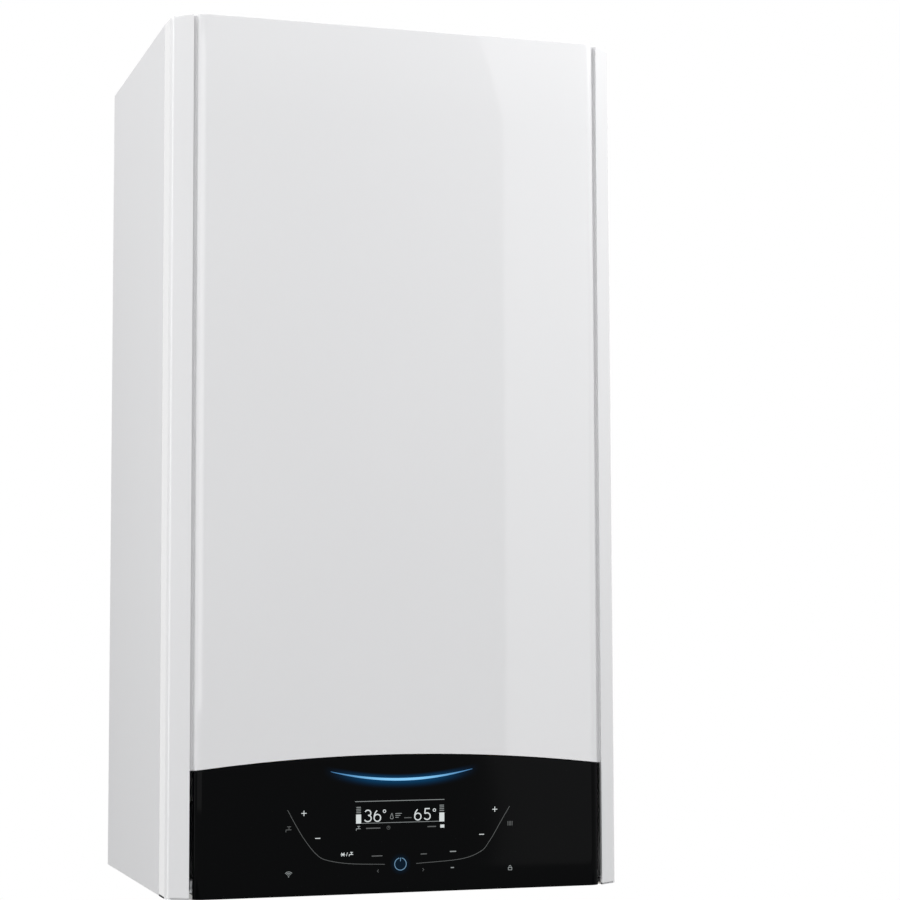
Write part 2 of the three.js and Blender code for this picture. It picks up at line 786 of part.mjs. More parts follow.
// A printed board with its larger components standing on the rear face.
function mainBoard() {
  const half = BOX_X - BOX_WALL - 6;
  const back = BOARD_FRONT_Y + BOARD;
  const low = BOARD_Z - BOARD_HEIGHT / 2;
  const board = box(
    -half,
    half,
    BOARD_FRONT_Y,
    back,
    low,
    BOARD_Z + BOARD_HEIGHT / 2,
  );
  const relays = [-120, -95, -70].map((x) => box(x, x + 18, back - 1, back + 15, low + 8, low + 24));
  const transformer = box(60, 100, back - 1, back + 22, low + 10, low + 46);
  const sockets = [-40, -10, 20].map((x) => box(x, x + 22, back - 1, back + 10, low + 40, low + 50));
  const capacitor = rodY(-20, low + 20, back - 1, back + 20, 7, 12);
  return join(board, transformer, capacitor, ...relays, ...sockets);
}

function controlBoxLid() {
  const plate = box(-BOX_X, BOX_X, LID_Y, LID_Y + LID, BOX_BOTTOM_Z, BOX_TOP_Z);
  const rib = cut(
    box(
      -BOX_X + BOX_WALL + GAP,
      BOX_X - BOX_WALL - GAP,
      LID_Y - 4,
      LID_Y + 0.5,
      BOX_BOTTOM_Z + BOX_WALL + GAP,
      BOX_TOP_Z - BOX_WALL - GAP,
    ),
    box(
      -BOX_X + BOX_WALL + GAP + 2,
      BOX_X - BOX_WALL - GAP - 2,
      LID_Y - 5,
      LID_Y,
      BOX_BOTTOM_Z + BOX_WALL + GAP + 2,
      BOX_TOP_Z - BOX_WALL - GAP - 2,
    ),
  );
  return join(plate, rib);
}

// An eye on the hinge axis, an arm to the rear and a foot on the side panel.
function hingeBracket(s) {
  const x0 = BOX_X + GAP * 2;
  const x1 = x0 + HINGE_PLATE;
  const rear = JOINT_Y + COVER_SLOT_REACH + 2;
  const eye = sideHinge(s, HINGE_EYE, x0, x1);
  const arm = sideBox(
    s,
    x0,
    x1,
    HINGE_Y,
    rear,
    HINGE_Z - HINGE_EYE + 0.5,
    HINGE_Z + HINGE_EYE,
  );
  const turn = sideBox(
    s,
    x0,
    PANEL_X,
    rear - 2,
    rear,
    HINGE_Z - HINGE_EYE + 0.5,
    HINGE_Z + 20,
  );
  const foot = sideBox(
    s,
    PANEL_X - 2,
    PANEL_X,
    rear - 2,
    rear + 16,
    HINGE_Z - HINGE_EYE + 0.5,
    HINGE_Z + 20,
  );
  const bore = sideHinge(s, HINGE_PIN_RADIUS + GAP, x0 - 1, x1 + 1);
  return cut(join(eye, arm, turn, foot), bore);
}

// A headed pin through the bracket's eye into the control box.
function hingePin(s) {
  const inner = BOX_X - 5.5;
  const eyeFace = BOX_X + GAP * 2 + HINGE_PLATE;
  const shank = sideHinge(s, HINGE_PIN_RADIUS, inner, eyeFace + 0.5);
  const head = sideHinge(s, HINGE_PIN_RADIUS * 1.6, eyeFace + GAP, eyeFace + 1.6);
  return join(shank, head);
}

add(panelBody, "fascia_glass", fasciaGlass(), "black_glass");
add(panelBody, "light_guide", lightGuide(), "blue_light");
add(panelBody, "display_module", displayModule(), "display");
add(panelBody, "control_box", controlBox(), "black_plastic");
add(panelBody, "main_board", mainBoard(), "circuit");
add(panelBody, "control_box_lid", controlBoxLid(), "grey_plastic");
for (const [side, s] of SIDES) {
  add(chassis, `hinge_bracket_${side}`, hingeBracket(s), "galvanised");
  add(chassis, `hinge_pin_${side}`, hingePin(s), "zinc");
}

// ================================================================ flue

const COLLAR_Z = HALF_H + GAP;
const PLUG_X = COLLAR_FLANGE - PLUG_RADIUS;
const PLUG_SEAT = COLLAR_Z + 10;

function flueCollar() {
  const r = AIR_RADIUS;
  const top = HALF_H + COLLAR_HEIGHT;
  const ring = turnedZ(
    0,
    FLUE_Y,
    [
      [r - COLLAR_WALL, COLLAR_Z],
      [COLLAR_FLANGE, COLLAR_Z],
      [COLLAR_FLANGE, COLLAR_Z + 2.5],
      [r, COLLAR_Z + 2.5],
      [r, top - 5],
      [r + 2.5, top - 4],
      [r + 2.5, top],
      [r - COLLAR_WALL, top],
      [r - COLLAR_WALL, COLLAR_Z],
    ],
    28,
  );
  const socket = rodZ(PLUG_X, FLUE_Y, COLLAR_Z, PLUG_SEAT, PLUG_RADIUS);
  const bore = rodZ(PLUG_X, FLUE_Y, COLLAR_Z + 3, PLUG_SEAT + 1, PLUG_RADIUS / 2 + GAP);
  return cut(join(ring, socket), bore);
}

// The screwed cap of the flue gas test point.
function testPlug() {
  const seat = PLUG_SEAT + GAP;
  return turnedZ(
    PLUG_X,
    FLUE_Y,
    [
      [0, COLLAR_Z + 4],
      [PLUG_RADIUS / 2, COLLAR_Z + 4],
      [PLUG_RADIUS / 2, seat],
      [PLUG_RADIUS + 0.5, seat],
      [PLUG_RADIUS + 0.5, seat + 3],
      [PLUG_RADIUS - 1, seat + 4],
      [0, seat + 4],
    ],
    16,
  );
}

const SPIGOT_TOP = DRUM_Z + DRUM_RADIUS + 12;

// The inner flue, from the heat exchanger's spigot up through the collar.
function flueDuct() {
  const inner = FLUE_RADIUS - FLUE_WALL;
  const top = HALF_H + COLLAR_HEIGHT - 4;
  const foot = SPIGOT_TOP + GAP;
  return turnedZ(
    0,
    FLUE_Y,
    [
      [inner, foot],
      [FLUE_RADIUS, foot],
      [FLUE_RADIUS, top - 12],
      [FLUE_RADIUS + 2, top - 11],
      [FLUE_RADIUS + 2, top],
      [inner, top],
      [inner, foot],
    ],
    24,
  );
}

add(chassis, "flue_collar", flueCollar(), "black_plastic");
add(chassis, "flue_duct", flueDuct(), "aluminium");
add(chassis, "test_plug", testPlug(), "red_plastic");

// ================================================================ heat exchanger and burner

const VESSEL_FRONT_Y = INNER_BACK_Y - VESSEL_DEPTH;
const FRAME_THICK = 2;
const FRAME_FRONT_Y = VESSEL_FRONT_Y - GAP - FRAME_THICK;
const FRAME_BAR = 30;

// A cross bar between the side panels, with an upright for the fan's side.
function mountingFrame() {
  const y1 = FRAME_FRONT_Y + FRAME_THICK;
  const half = FRAME_BAR / 2;
  const bar = box(-PANEL_X, PANEL_X, FRAME_FRONT_Y, y1, DRUM_Z - half, DRUM_Z + half);
  const upright = box(
    FAN_X - half,
    FAN_X + half,
    FRAME_FRONT_Y,
    y1,
    DRUM_Z,
    FAN_Z + FRAME_BAR,
  );
  const ears = SIDES.map(([, s]) =>
    sideBox(
      s,
      PANEL_X - FRAME_THICK,
      PANEL_X,
      FRAME_FRONT_Y - FRAME_BAR,
      y1,
      DRUM_Z - half,
      DRUM_Z + half,
    ),
  );
  return join(bar, upright, ...ears);
}

const WATER_STUB_X = 60;
const STUB_Y = -100;
const STUB_Z = DRUM_Z - DRUM_RADIUS - 6; // open ends of the drum's stubs
const SUMP_X = -30;
const SUMP_Y = -165;
const FOOT_HALF = 26;

// An open-fronted drum with a flue spigot, two water stubs, a sump and two rear feet.
function exchangerShell() {
  const drum = turnedY(
    0,
    DRUM_Z,
    [
      [0, DRUM_BACK_Y],
      [DRUM_RADIUS - DRUM_WALL, DRUM_BACK_Y],
      [DRUM_RADIUS, DRUM_BACK_Y - DRUM_WALL],
      [DRUM_RADIUS, DRUM_FRONT_Y + 5],
      [DRUM_FLANGE, DRUM_FRONT_Y + 5],
      [DRUM_FLANGE, DRUM_FRONT_Y],
      [0, DRUM_FRONT_Y],
    ],
    DRUM_SIDES,
  );
  const spigot = rodZ(0, FLUE_Y, DRUM_Z + DRUM_RADIUS - 20, SPIGOT_TOP, FLUE_RADIUS + 2, 24);
  const stubs = SIDES.map(([, s]) => rodZ(s * WATER_STUB_X, STUB_Y, STUB_Z, DRUM_Z, 12));
  const sump = rodZ(SUMP_X, SUMP_Y, STUB_Z, DRUM_Z, 12);
  const feet = SIDES.map(([, s]) =>
    sideBox(
      s,
      FOOT_HALF,
      FOOT_HALF + 10,
      DRUM_BACK_Y - 1,
      FRAME_FRONT_Y - GAP,
      DRUM_Z - 30,
      DRUM_Z + 30,
    ),
  );
  const inner = DRUM_RADIUS - DRUM_WALL;
  const hollow = rodY(0, DRUM_Z, DRUM_FRONT_Y - 1, DRUM_BACK_Y - DRUM_WALL, inner, DRUM_SIDES);
  const flue = rodZ(0, FLUE_Y, DRUM_Z + 50, SPIGOT_TOP + 1, FLUE_RADIUS - FLUE_WALL, 24);
  const drain = rodZ(SUMP_X, SUMP_Y, STUB_Z - 1, DRUM_Z, 8, 16);
  return cut(join(drum, spigot, sump, ...stubs, ...feet), hollow, flue, drain);
}

// One unbroken tube wound round the burner.
function exchangerCoil() {
  const radius = (DRUM_RADIUS - DRUM_WALL) * Math.cos(Math.PI / DRUM_SIDES) - COIL_TUBE - GAP;
  const start = DRUM_BACK_Y - DRUM_WALL - COIL_TUBE - GAP;
  class Helix extends THREE.Curve {
    getPoint(t) {
      const a = t * COIL_TURNS * 2 * Math.PI;
      return new THREE.Vector3(
        radius * Math.cos(a),
        start - t * COIL_TURNS * COIL_PITCH,
        DRUM_Z + radius * Math.sin(a),
      );
    }
  }
  const ring = new THREE.Shape().absarc(0, 0, COIL_TUBE, 0, 2 * Math.PI);
  return solid(
    new THREE.ExtrudeGeometry(ring, {
      steps: COIL_TURNS * COIL_STEPS,
      curveSegments: 3,
      extrudePath: new Helix(),
      bevelEnabled: false,
    }),
  );
}

const DOOR_BACK_Y = DRUM_FRONT_Y - GAP;
const DOOR_FRONT_Y = DOOR_BACK_Y - DOOR_THICK;
const ELECTRODE_X = -52;
const ELECTRODE_Z = DRUM_Z + 26;
const DOOR_NUTS = 6;

// The cast door: a ribbed disc with the burner's air inlet in the middle.
function burnerDoor() {
  const disc = rodY(0, DRUM_Z, DOOR_FRONT_Y, DOOR_BACK_Y, DRUM_FLANGE, DRUM_SIDES);
  const dome = turnedY(
    0,
    DRUM_Z,
    [
      [0, DOOR_FRONT_Y + 1],
      [DRUM_FLANGE - 22, DOOR_FRONT_Y + 1],
      [DRUM_FLANGE - 30, DOOR_FRONT_Y - 7],
      [0, DOOR_FRONT_Y - 7],
    ],
    DRUM_SIDES,
  );
  const nuts = [];
  for (let i = 0; i < DOOR_NUTS; i++) {
    const a = (2 * Math.PI * (i + 0.5)) / DOOR_NUTS;
    const r = DRUM_FLANGE - 9;
    nuts.push(
      rodY(r * Math.cos(a), DRUM_Z + r * Math.sin(a), DOOR_FRONT_Y - 5, DOOR_BACK_Y - 1, 6, 6),
    );
  }
  const inlet = rodY(0, DRUM_Z, DOOR_FRONT_Y - 20, DOOR_BACK_Y + 10, DUCT_RADIUS - 4, 24);
  const port = rodY(
    ELECTRODE_X,
    ELECTRODE_Z,
    DOOR_FRONT_Y - 20,
    DOOR_BACK_Y + 10,
    5 + GAP,
    16,
  );
  return cut(join(disc, dome, ...nuts), inlet, port);
}

function burnerTube() {
  const front = DOOR_BACK_Y + GAP;
  const back = front + BURNER_LENGTH;
  const shell = turnedY(
    0,
    DRUM_Z,
    [
      [BURNER_RADIUS - 2, front],
      [BURNER_RADIUS + 12, front],
      [BURNER_RADIUS + 12, front + 2],
      [BURNER_RADIUS, front + 2],
      [BURNER_RADIUS, back],
      [0, back],
      [0, back - 2],
      [BURNER_RADIUS - 2, back - 2],
      [BURNER_RADIUS - 2, front],
    ],
    24,
  );
  return shell;
}

const DOME_Y = DOOR_FRONT_Y - 7;

function ignitionElectrode() {
  const bodyRod = rodY(ELECTRODE_X, ELECTRODE_Z, DOME_Y - 16, DOOR_BACK_Y + 14, 5, 16);
  const flange = box(
    ELECTRODE_X - 8,
    ELECTRODE_X + 8,
    DOME_Y - 3,
    DOME_Y - GAP,
    ELECTRODE_Z - 12,
    ELECTRODE_Z + 12,
  );
  const wire = rodY(ELECTRODE_X, ELECTRODE_Z, DOOR_BACK_Y + 13, DOOR_BACK_Y + 60, 1.2, 8);
  return join(bodyRod, flange, wire);
}

add(chassis, "mounting_frame", mountingFrame(), "galvanised");
add(chassis, "heat_exchanger_shell", exchangerShell(), "stainless");
add(chassis, "heat_exchanger_coil", exchangerCoil(), "stainless");
add(chassis, "burner_door", burnerDoor(), "aluminium");
add(chassis, "burner_tube", burnerTube(), "stainless");
add(chassis, "ignition_electrode", ignitionElectrode(), "ceramic");

// ================================================================ fan, mixer, silencer, gas

const FAN_FRONT_Y = FAN_BACK_Y - FAN_WIDTH;
const FAN_MID_Y = (FAN_BACK_Y + FAN_FRONT_Y) / 2;
const OUTLET_X = FAN_X - FAN_OUTLET_X;
const OUTLET_Z = FAN_Z - FAN_RADIUS - 8;
const INLET_RADIUS = 22;
const fanBody = body("fan_impeller_body");

function fanHousing() {
  const drum = rodY(FAN_X, FAN_Z, FAN_FRONT_Y, FAN_BACK_Y, FAN_RADIUS, 28);
  const neck = box(
    OUTLET_X - DUCT_RADIUS - 3,
    OUTLET_X + DUCT_RADIUS + 3,
    FAN_FRONT_Y,
    FAN_BACK_Y,
    OUTLET_Z,
    FAN_Z,
  );
  const room = rodY(
    FAN_X,
    FAN_Z,
    FAN_FRONT_Y + FAN_WALL,
    FAN_BACK_Y - FAN_WALL,
    FAN_RADIUS - FAN_WALL,
    28,
  );
  const inlet = rodY(FAN_X, FAN_Z, FAN_BACK_Y - FAN_WALL - 1, FAN_BACK_Y + 1, INLET_RADIUS, 24);
  const shaftHole = rodY(
    FAN_X,
    FAN_Z,
    FAN_FRONT_Y - 1,
    FAN_FRONT_Y + FAN_WALL + 1,
    SHAFT_RADIUS + 2,
    16,
  );
  const outlet = rodZ(OUTLET_X, FAN_MID_Y, OUTLET_Z - 1, FAN_Z, DUCT_RADIUS - 3, 24);
  return cut(join(drum, neck), room, inlet, shaftHole, outlet);
}

// A backward-bladed wheel on its shaft.
function fanImpeller() {
  const r = FAN_RADIUS - FAN_WALL - 6;
  const back = FAN_BACK_Y - FAN_WALL - 3;
  const front = FAN_FRONT_Y + FAN_WALL + 3;
  const disc = rodY(FAN_X, FAN_Z, front, front + 2, r, 24);
  const hub = rodY(FAN_X, FAN_Z, front, back - 6, 9, 16);
  const shaft = rodY(
    FAN_X,
    FAN_Z,
    FAN_FRONT_Y - GAP - FAN_MOTOR_LENGTH / 2,
    front + 1,
    SHAFT_RADIUS,
    12,
  );
  const blades = [];
  for (let i = 0; i < 12; i++) {
    const g = new THREE.BoxGeometry(r * 0.5, back - front - 1, 1.6);
    g.rotateY(0.5).translate(r * 0.7, (front + back) / 2, 0);
    g.rotateY((i * Math.PI) / 6).translate(FAN_X, 0, FAN_Z);
    blades.push(solid(g));
  }
  return join(disc, hub, shaft, ...blades);
}

function fanMotor() {
  const back = FAN_FRONT_Y - GAP;
  const r = FAN_MOTOR_RADIUS;
  const can = turnedY(
    FAN_X,
    FAN_Z,
    [
      [0, back],
      [r + 8, back],
      [r + 8, back - 3],
      [r, back - 3],
      [r, back - FAN_MOTOR_LENGTH + 5],
      [r - 6, back - FAN_MOTOR_LENGTH],
      [0, back - FAN_MOTOR_LENGTH],
    ],
    24,
  );
  const plug = box(
    FAN_X - 10,
    FAN_X + 10,
    back - FAN_MOTOR_LENGTH + 8,
    back - 6,
    FAN_Z - r - 9,
    FAN_Z - r + 6,
  );
  const bore = rodY(
    FAN_X,
    FAN_Z,
    back - FAN_MOTOR_LENGTH / 2 - 1,
    back + 1,
    SHAFT_RADIUS + GAP,
    16,
  );
  return cut(join(can, plug), bore);
}

const MIXER_LENGTH = 46;
const MIXER_RADIUS = 26;
const MIXER_BACK_Y = FAN_BACK_Y + GAP + MIXER_LENGTH;

// The venturi that draws gas into the air, between the silencer and the fan.
function venturiMixer() {
  const front = FAN_BACK_Y + GAP;
  const shell = turnedY(
    FAN_X,
    FAN_Z,
    [
      [14, front],
      [MIXER_RADIUS + 7, front],
      [MIXER_RADIUS + 7, front + 4],
      [MIXER_RADIUS, front + 4],
      [MIXER_RADIUS, MIXER_BACK_Y],
      [20, MIXER_BACK_Y],
      [12, front + MIXER_LENGTH / 2],
      [14, front],
    ],
    28,
  );
  const port = rodZ(FAN_X, front + MIXER_LENGTH / 2, FAN_Z - MIXER_RADIUS - 8, FAN_Z - 16, 9);
  return join(shell, port);
}

const BOX_LEFT = FAN_X - 54;
const BOX_RIGHT = FAN_X + 56;


function intakeSilencer() {
  const y0 = MIXER_BACK_Y + GAP;
  const y1 = FRAME_FRONT_Y - GAP;
  const z0 = FAN_Z - 50;
  const z1 = FAN_Z + 60;
  const outer = plateY(roundedRect(BOX_LEFT, BOX_RIGHT, z0, z1, 10), y0, y1);
  const inner = plateY(roundedRect(BOX_LEFT + 2, BOX_RIGHT - 2, z0 + 2, z1 - 2, 8), y0 + 2, y1 - 2);
  const hole = rodY(FAN_X, FAN_Z, y0 - 1, y0 + 3, 18, 24);
  const mouth = box(BOX_LEFT - 1, BOX_LEFT + 3, y0 + 8, y1 - 8, z0 + 60, z1 - 12);
  return cut(outer, inner, hole, mouth);
}

// The bent duct that carries the gas and air mixture to the burner.
function gasAirDuct() {
  const y = DOME_Y - 39;
  return pipe(
    [
      [OUTLET_X, FAN_MID_Y, OUTLET_Z - GAP],
      [OUTLET_X, FAN_MID_Y, OUTLET_Z - 26],
      [OUTLET_X - 10, y, OUTLET_Z - 54],
      [0, y, DRUM_Z],
      [0, DOME_Y - GAP, DRUM_Z],
    ],
    DUCT_RADIUS + 2,
    DUCT_RADIUS,
    16,
  );
}

const VALVE_X = 5;
const VALVE_Y = -172;
const VALVE_Z = -125;
const VALVE_HALF = 30;
const VALVE_TALL = 90;
const VALVE_DEEP = 58;

function gasValve() {
  const x0 = VALVE_X - VALVE_HALF;
  const x1 = VALVE_X + VALVE_HALF;
  const y0 = VALVE_Y - VALVE_DEEP / 2;
  const y1 = VALVE_Y + VALVE_DEEP / 2;
  const cast = plateZ(
    roundedRect(x0, x1, y0, y1, 6, 2),
    VALVE_Z - VALVE_TALL / 2 + 10,
    VALVE_Z + VALVE_TALL / 2 - 10,
  );
  const ends = rodZ(
    VALVE_X,
    VALVE_Y,
    VALVE_Z - VALVE_TALL / 2,
    VALVE_Z + VALVE_TALL / 2,
    16,
    6,
  );
  const coils = [-14, 14].map((dx) =>
    rodY(VALVE_X + dx, VALVE_Z + 12, y0 - 24, y0 + 1, 11, 20),
  );
  const regulator = rodY(VALVE_X, VALVE_Z - 20, y0 - 12, y0 + 1, 13, 24);
  return join(cast, ends, regulator, ...coils);
}

const VALVE_BOTTOM = VALVE_Z - VALVE_TALL / 2;
const VALVE_TOP = VALVE_Z + VALVE_TALL / 2;

// The bore of a tail, from its open end up to a height.
const tailBore = (x, top) =>
  rodZ(x, PIPE_Y, -HALF_H - TAIL_LENGTH - 1, top, TAIL_BORE);

// The gas tail: a threaded end under the casing and a pipe up to the valve.
function gasInletPipe() {
  const hexTop = FLOOR_Z + NUT_HEIGHT;
  const up = pipe(
    [
      [0, PIPE_Y, hexTop - 2],
      [0, PIPE_Y, VALVE_BOTTOM - 70],
      [VALVE_X, VALVE_Y, VALVE_BOTTOM - 34],
      [VALVE_X, VALVE_Y, VALVE_BOTTOM - GAP],
    ],
    14,
    TAIL_RADIUS - 4,
  );
  const tail = rodZ(0, PIPE_Y, -HALF_H - TAIL_LENGTH, hexTop - 1, TAIL_RADIUS);
  const hex = rodZ(0, PIPE_Y, FLOOR_Z + GAP, hexTop, NUT_RADIUS, 6);
  const bore = tailBore(0, hexTop - 5);
  return cut(join(up, tail, hex), bore);
}

function gasFeedPipe() {
  const mixerY = FAN_BACK_Y + GAP + MIXER_LENGTH / 2;
  return pipe(
    [
      [VALVE_X, VALVE_Y, VALVE_TOP + GAP],
      [VALVE_X, VALVE_Y, VALVE_TOP + 28],
      [FAN_X, mixerY, VALVE_TOP + 50],
      [FAN_X, mixerY, FAN_Z - MIXER_RADIUS - 8 - GAP],
    ],
    16,
    GAS_PIPE,
  );
}

const SPARK_BOX_Z = 42;
const SPARK_BOX_Y = (DRUM_FRONT_Y + DOOR_FRONT_Y) / 2;
const SPARK_BOX_HALF = 31;

function ignitionTransformer() {
  const x0 = -SKIN_X + GAP;
  const block = box(
    x0,
    x0 + 30,
    SPARK_BOX_Y - SPARK_BOX_HALF,
    SPARK_BOX_Y + SPARK_BOX_HALF,
    SPARK_BOX_Z - 30,
    SPARK_BOX_Z + 30,
  );
  const nose = rodX(SPARK_BOX_Y, SPARK_BOX_Z + 16, x0 + 29, x0 + 42, 6, 16);
  return join(block, nose);
}

// The spark lead, held at both ends.
function ignitionLead() {
  const x0 = -SKIN_X + 42 + 2 * GAP;
  return pipe(
    [
      [x0, SPARK_BOX_Y, SPARK_BOX_Z + 16],
      [x0 + 14, SPARK_BOX_Y, SPARK_BOX_Z + 16],
      [ELECTRODE_X - 42, DOME_Y - 34, ELECTRODE_Z + 20],
      [ELECTRODE_X, DOME_Y - 34, ELECTRODE_Z],
      [ELECTRODE_X, DOME_Y - 16 - GAP, ELECTRODE_Z],
    ],
    8,
    3.5,
    8,
  );
}

add(chassis, "fan_housing", fanHousing(), "aluminium");
add(fanBody, "fan_impeller", fanImpeller(), "black_plastic");
add(chassis, "fan_motor", fanMotor(), "black_plastic");
add(chassis, "venturi_mixer", venturiMixer(), "aluminium");
add(chassis, "intake_silencer", intakeSilencer(), "grey_plastic");
add(chassis, "gas_air_duct", gasAirDuct(), "aluminium");
add(chassis, "gas_valve", gasValve(), "aluminium");
add(chassis, "gas_inlet_pipe", gasInletPipe(), "copper");
add(chassis, "gas_feed_pipe", gasFeedPipe(), "copper");
add(chassis, "ignition_transformer", ignitionTransformer(), "black_plastic");
add(chassis, "ignition_lead", ignitionLead(), "rubber");

// ================================================================ condensate

const TRAP_RADIUS = 24;
const TRAP_TOP = -118;
const TRAP_BOTTOM = -250;

function condensateTrap() {
  const open = -HALF_H - DRAIN_REACH;
  return turnedZ(DRAIN_X, DRAIN_Y, [
    [0, open + DRAIN_DEPTH],
    [DRAIN_BORE, open + DRAIN_DEPTH],
    [DRAIN_BORE, open],
    [DRAIN_RADIUS, open],
    [DRAIN_RADIUS, TRAP_BOTTOM],
    [TRAP_RADIUS - 6, TRAP_BOTTOM + 4],
    [TRAP_RADIUS, TRAP_BOTTOM + 14],
    [TRAP_RADIUS, TRAP_TOP - 20],
    [TRAP_RADIUS + 3, TRAP_TOP - 19],
    [TRAP_RADIUS + 3, TRAP_TOP - 8],
    [10, TRAP_TOP - 7],
    [10, TRAP_TOP],
    [0, TRAP_TOP],
  ]);
}

// A short rubber hose from the heat exchanger's sump to the trap.
function condensateHose() {
  return pipe(
    [
      [SUMP_X, SUMP_Y, STUB_Z - GAP],
      [SUMP_X, SUMP_Y, STUB_Z - 36],
      [DRAIN_X, DRAIN_Y, TRAP_TOP + 48],
      [DRAIN_X, DRAIN_Y, TRAP_TOP + GAP],
    ],
    22,
    9,
  );
}

add(chassis, "condensate_trap", condensateTrap(), "white_plastic");
add(chassis, "condensate_hose", condensateHose(), "rubber");

// ================================================================ hydraulics

const BLOCK_TOP = BLOCK_Z + BLOCK_HEIGHT;
const BLOCK_BACK_Y = PIPE_Y + BLOCK_RADIUS + 12;
const PLATE_FRONT_Y = BLOCK_BACK_Y + 5;
const PLATE_Z = CROSS_Z - 12;
const diverterBody = body("diverter_spindle_body");
const turbineBody = body("flow_turbine_body");
const knobBody = body("safety_knob_body");
const tapBody = body("filling_tap_body");
const pumpBody = body("pump_impeller_body");

// A vertical barrel of a block with its threaded tail below the casing.
function barrel(x) {
  const trunk = rodZ(x, PIPE_Y, BLOCK_Z, BLOCK_TOP, BLOCK_RADIUS, 16);
  const nut = rodZ(x, PIPE_Y, FLOOR_Z + GAP, FLOOR_Z + NUT_HEIGHT, NUT_RADIUS, 6);
  const tail = rodZ(x, PIPE_Y, -HALF_H - TAIL_LENGTH, BLOCK_Z + 1, TAIL_RADIUS);
  return join(trunk, nut, tail);
}

// A passage to the plate exchanger behind.
const plateNeck = (x, z) => rodY(x, z, PIPE_Y, BLOCK_BACK_Y, 12);
const PLATE_PORT_X = PLATE_HALF - 18;
const PLATE_PORTS = [PLATE_Z + PLATE_HEIGHT / 2 - 16, PLATE_Z - PLATE_HEIGHT / 2 + 16];
const SAFETY_X = -PIPE_PITCH;
const SAFETY_Y = PIPE_Y - BLOCK_RADIUS - 9;

function flowBlock() {
  const barrels = [-2, -1].map((i) => barrel(i * PIPE_PITCH));
  const cross = rodX(PIPE_Y, CROSS_Z, -2 * PIPE_PITCH, -PIPE_PITCH, CROSS_RADIUS, 16);
  const diverter = rodY(DIVERTER_X, CROSS_Z, DIVERTER_FRONT_Y, PIPE_Y, DIVERTER_RADIUS, 16);
  const safety = rodY(SAFETY_X, CROSS_Z, SAFETY_Y, PIPE_Y, 12);
  const necks = PLATE_PORTS.map((z) => plateNeck(-PLATE_PORT_X, z));
  const bore = rodY(DIVERTER_X, CROSS_Z, DIVERTER_FRONT_Y - 1, PIPE_Y + 12, DIVERTER_BORE);
  const bores = [-2, -1].map((i) => tailBore(i * PIPE_PITCH, BLOCK_Z + 12));
  return cut(join(...barrels, cross, diverter, safety, ...necks), bore, ...bores);
}

const PUMP_X = 2 * PIPE_PITCH;
const PUMP_BOTTOM = PUMP_Z - PUMP_RADIUS - 8;
const PUMP_TOP = PUMP_Z + PUMP_RADIUS + 8;
const PUMP_PORT_Y = (PUMP_FRONT_Y + PUMP_BACK_Y) / 2;
const TURBINE_X = PIPE_PITCH;
const TURBINE_BORE_TOP = BLOCK_Z + 46;

function returnBlock() {
  const barrels = [1, 2].map((i) => barrel(i * PIPE_PITCH));
  const cross = rodX(PIPE_Y, CROSS_Z, PIPE_PITCH, 2 * PIPE_PITCH, CROSS_RADIUS, 16);
  const riser = rodZ(PUMP_X, PUMP_PORT_Y, CROSS_Z, PUMP_BOTTOM - GAP, 14, 24);
  const tap = rodZ(TAP_X, PIPE_Y - 20, BLOCK_Z, CROSS_Z, 8, 16);
  const tapArm = box(
    TAP_X - 8,
    TAP_X + 8,
    TAP_Y - 8,
    PIPE_Y - 12,
    BLOCK_Z,
    BLOCK_Z + 16,
  );
  const necks = PLATE_PORTS.map((z) => plateNeck(PLATE_PORT_X, z));
  const bores = [
    tailBore(TURBINE_X, TURBINE_BORE_TOP),
    tailBore(PUMP_X, BLOCK_Z + 12),
    rodZ(TAP_X, TAP_Y, BLOCK_Z - 1, BLOCK_Z + 12, TAP_STEM + GAP, 16),
  ];
  return cut(join(...barrels, cross, riser, tap, tapArm, ...necks), ...bores);
}

// A propeller on a short shaft in the cold inlet.
function flowTurbine() {
  const z = BLOCK_Z + 26;
  const hub = rodZ(TURBINE_X, PIPE_Y, z, z + 14, 3, 12);
  const shaft = rodZ(TURBINE_X, PIPE_Y, z - 6, TURBINE_BORE_TOP - GAP, 1.2, 8);
  const blades = [];
  for (let i = 0; i < 4; i++) {
    const g = new THREE.BoxGeometry(TURBINE_RADIUS - 1.4, 1.2, 9);
    g.rotateX(0.5).translate((TURBINE_RADIUS + 1) / 2, 0, 0).rotateZ((i * Math.PI) / 2);
    blades.push(solid(g.translate(TURBINE_X, PIPE_Y, z + 7)));
  }
  return join(hub, shaft, ...blades);
}

function diverterSpindle() {
  const nose = DIVERTER_FRONT_Y + 2;
  const seat = PIPE_Y + 12 - DIVERTER_TRAVEL - 2;
  return turnedY(
    DIVERTER_X,
    CROSS_Z,
    [
      [0, nose],
      [3, nose],
      [3, seat - 6],
      [DIVERTER_BORE - 0.6, seat - 5],
      [DIVERTER_BORE - 0.6, seat],
      [0, seat],
    ],
    20,
  );
}

function diverterMotor() {
  const back = DIVERTER_FRONT_Y - GAP;
  const collar = rodY(DIVERTER_X, CROSS_Z, back - 12, back, DIVERTER_RADIUS, 16);
  const head = plateY(
    roundedRect(DIVERTER_X - 22, DIVERTER_X + 21, CROSS_Z - 24, CROSS_Z + 28, 5, 3),
    MOTOR_FRONT_Y,
    back - 11,
  );
  return join(collar, head);
}

const VALVE_NOSE_Y = SAFETY_Y - GAP - 26;

function safetyValve() {
  const back = SAFETY_Y - GAP;
  const brass = rodY(SAFETY_X, CROSS_Z, VALVE_NOSE_Y, back, 11, 6);
  const drain = rodZ(SAFETY_X, back - 10, CROSS_Z - 38, CROSS_Z, 7, 16);
  return join(brass, drain);
}

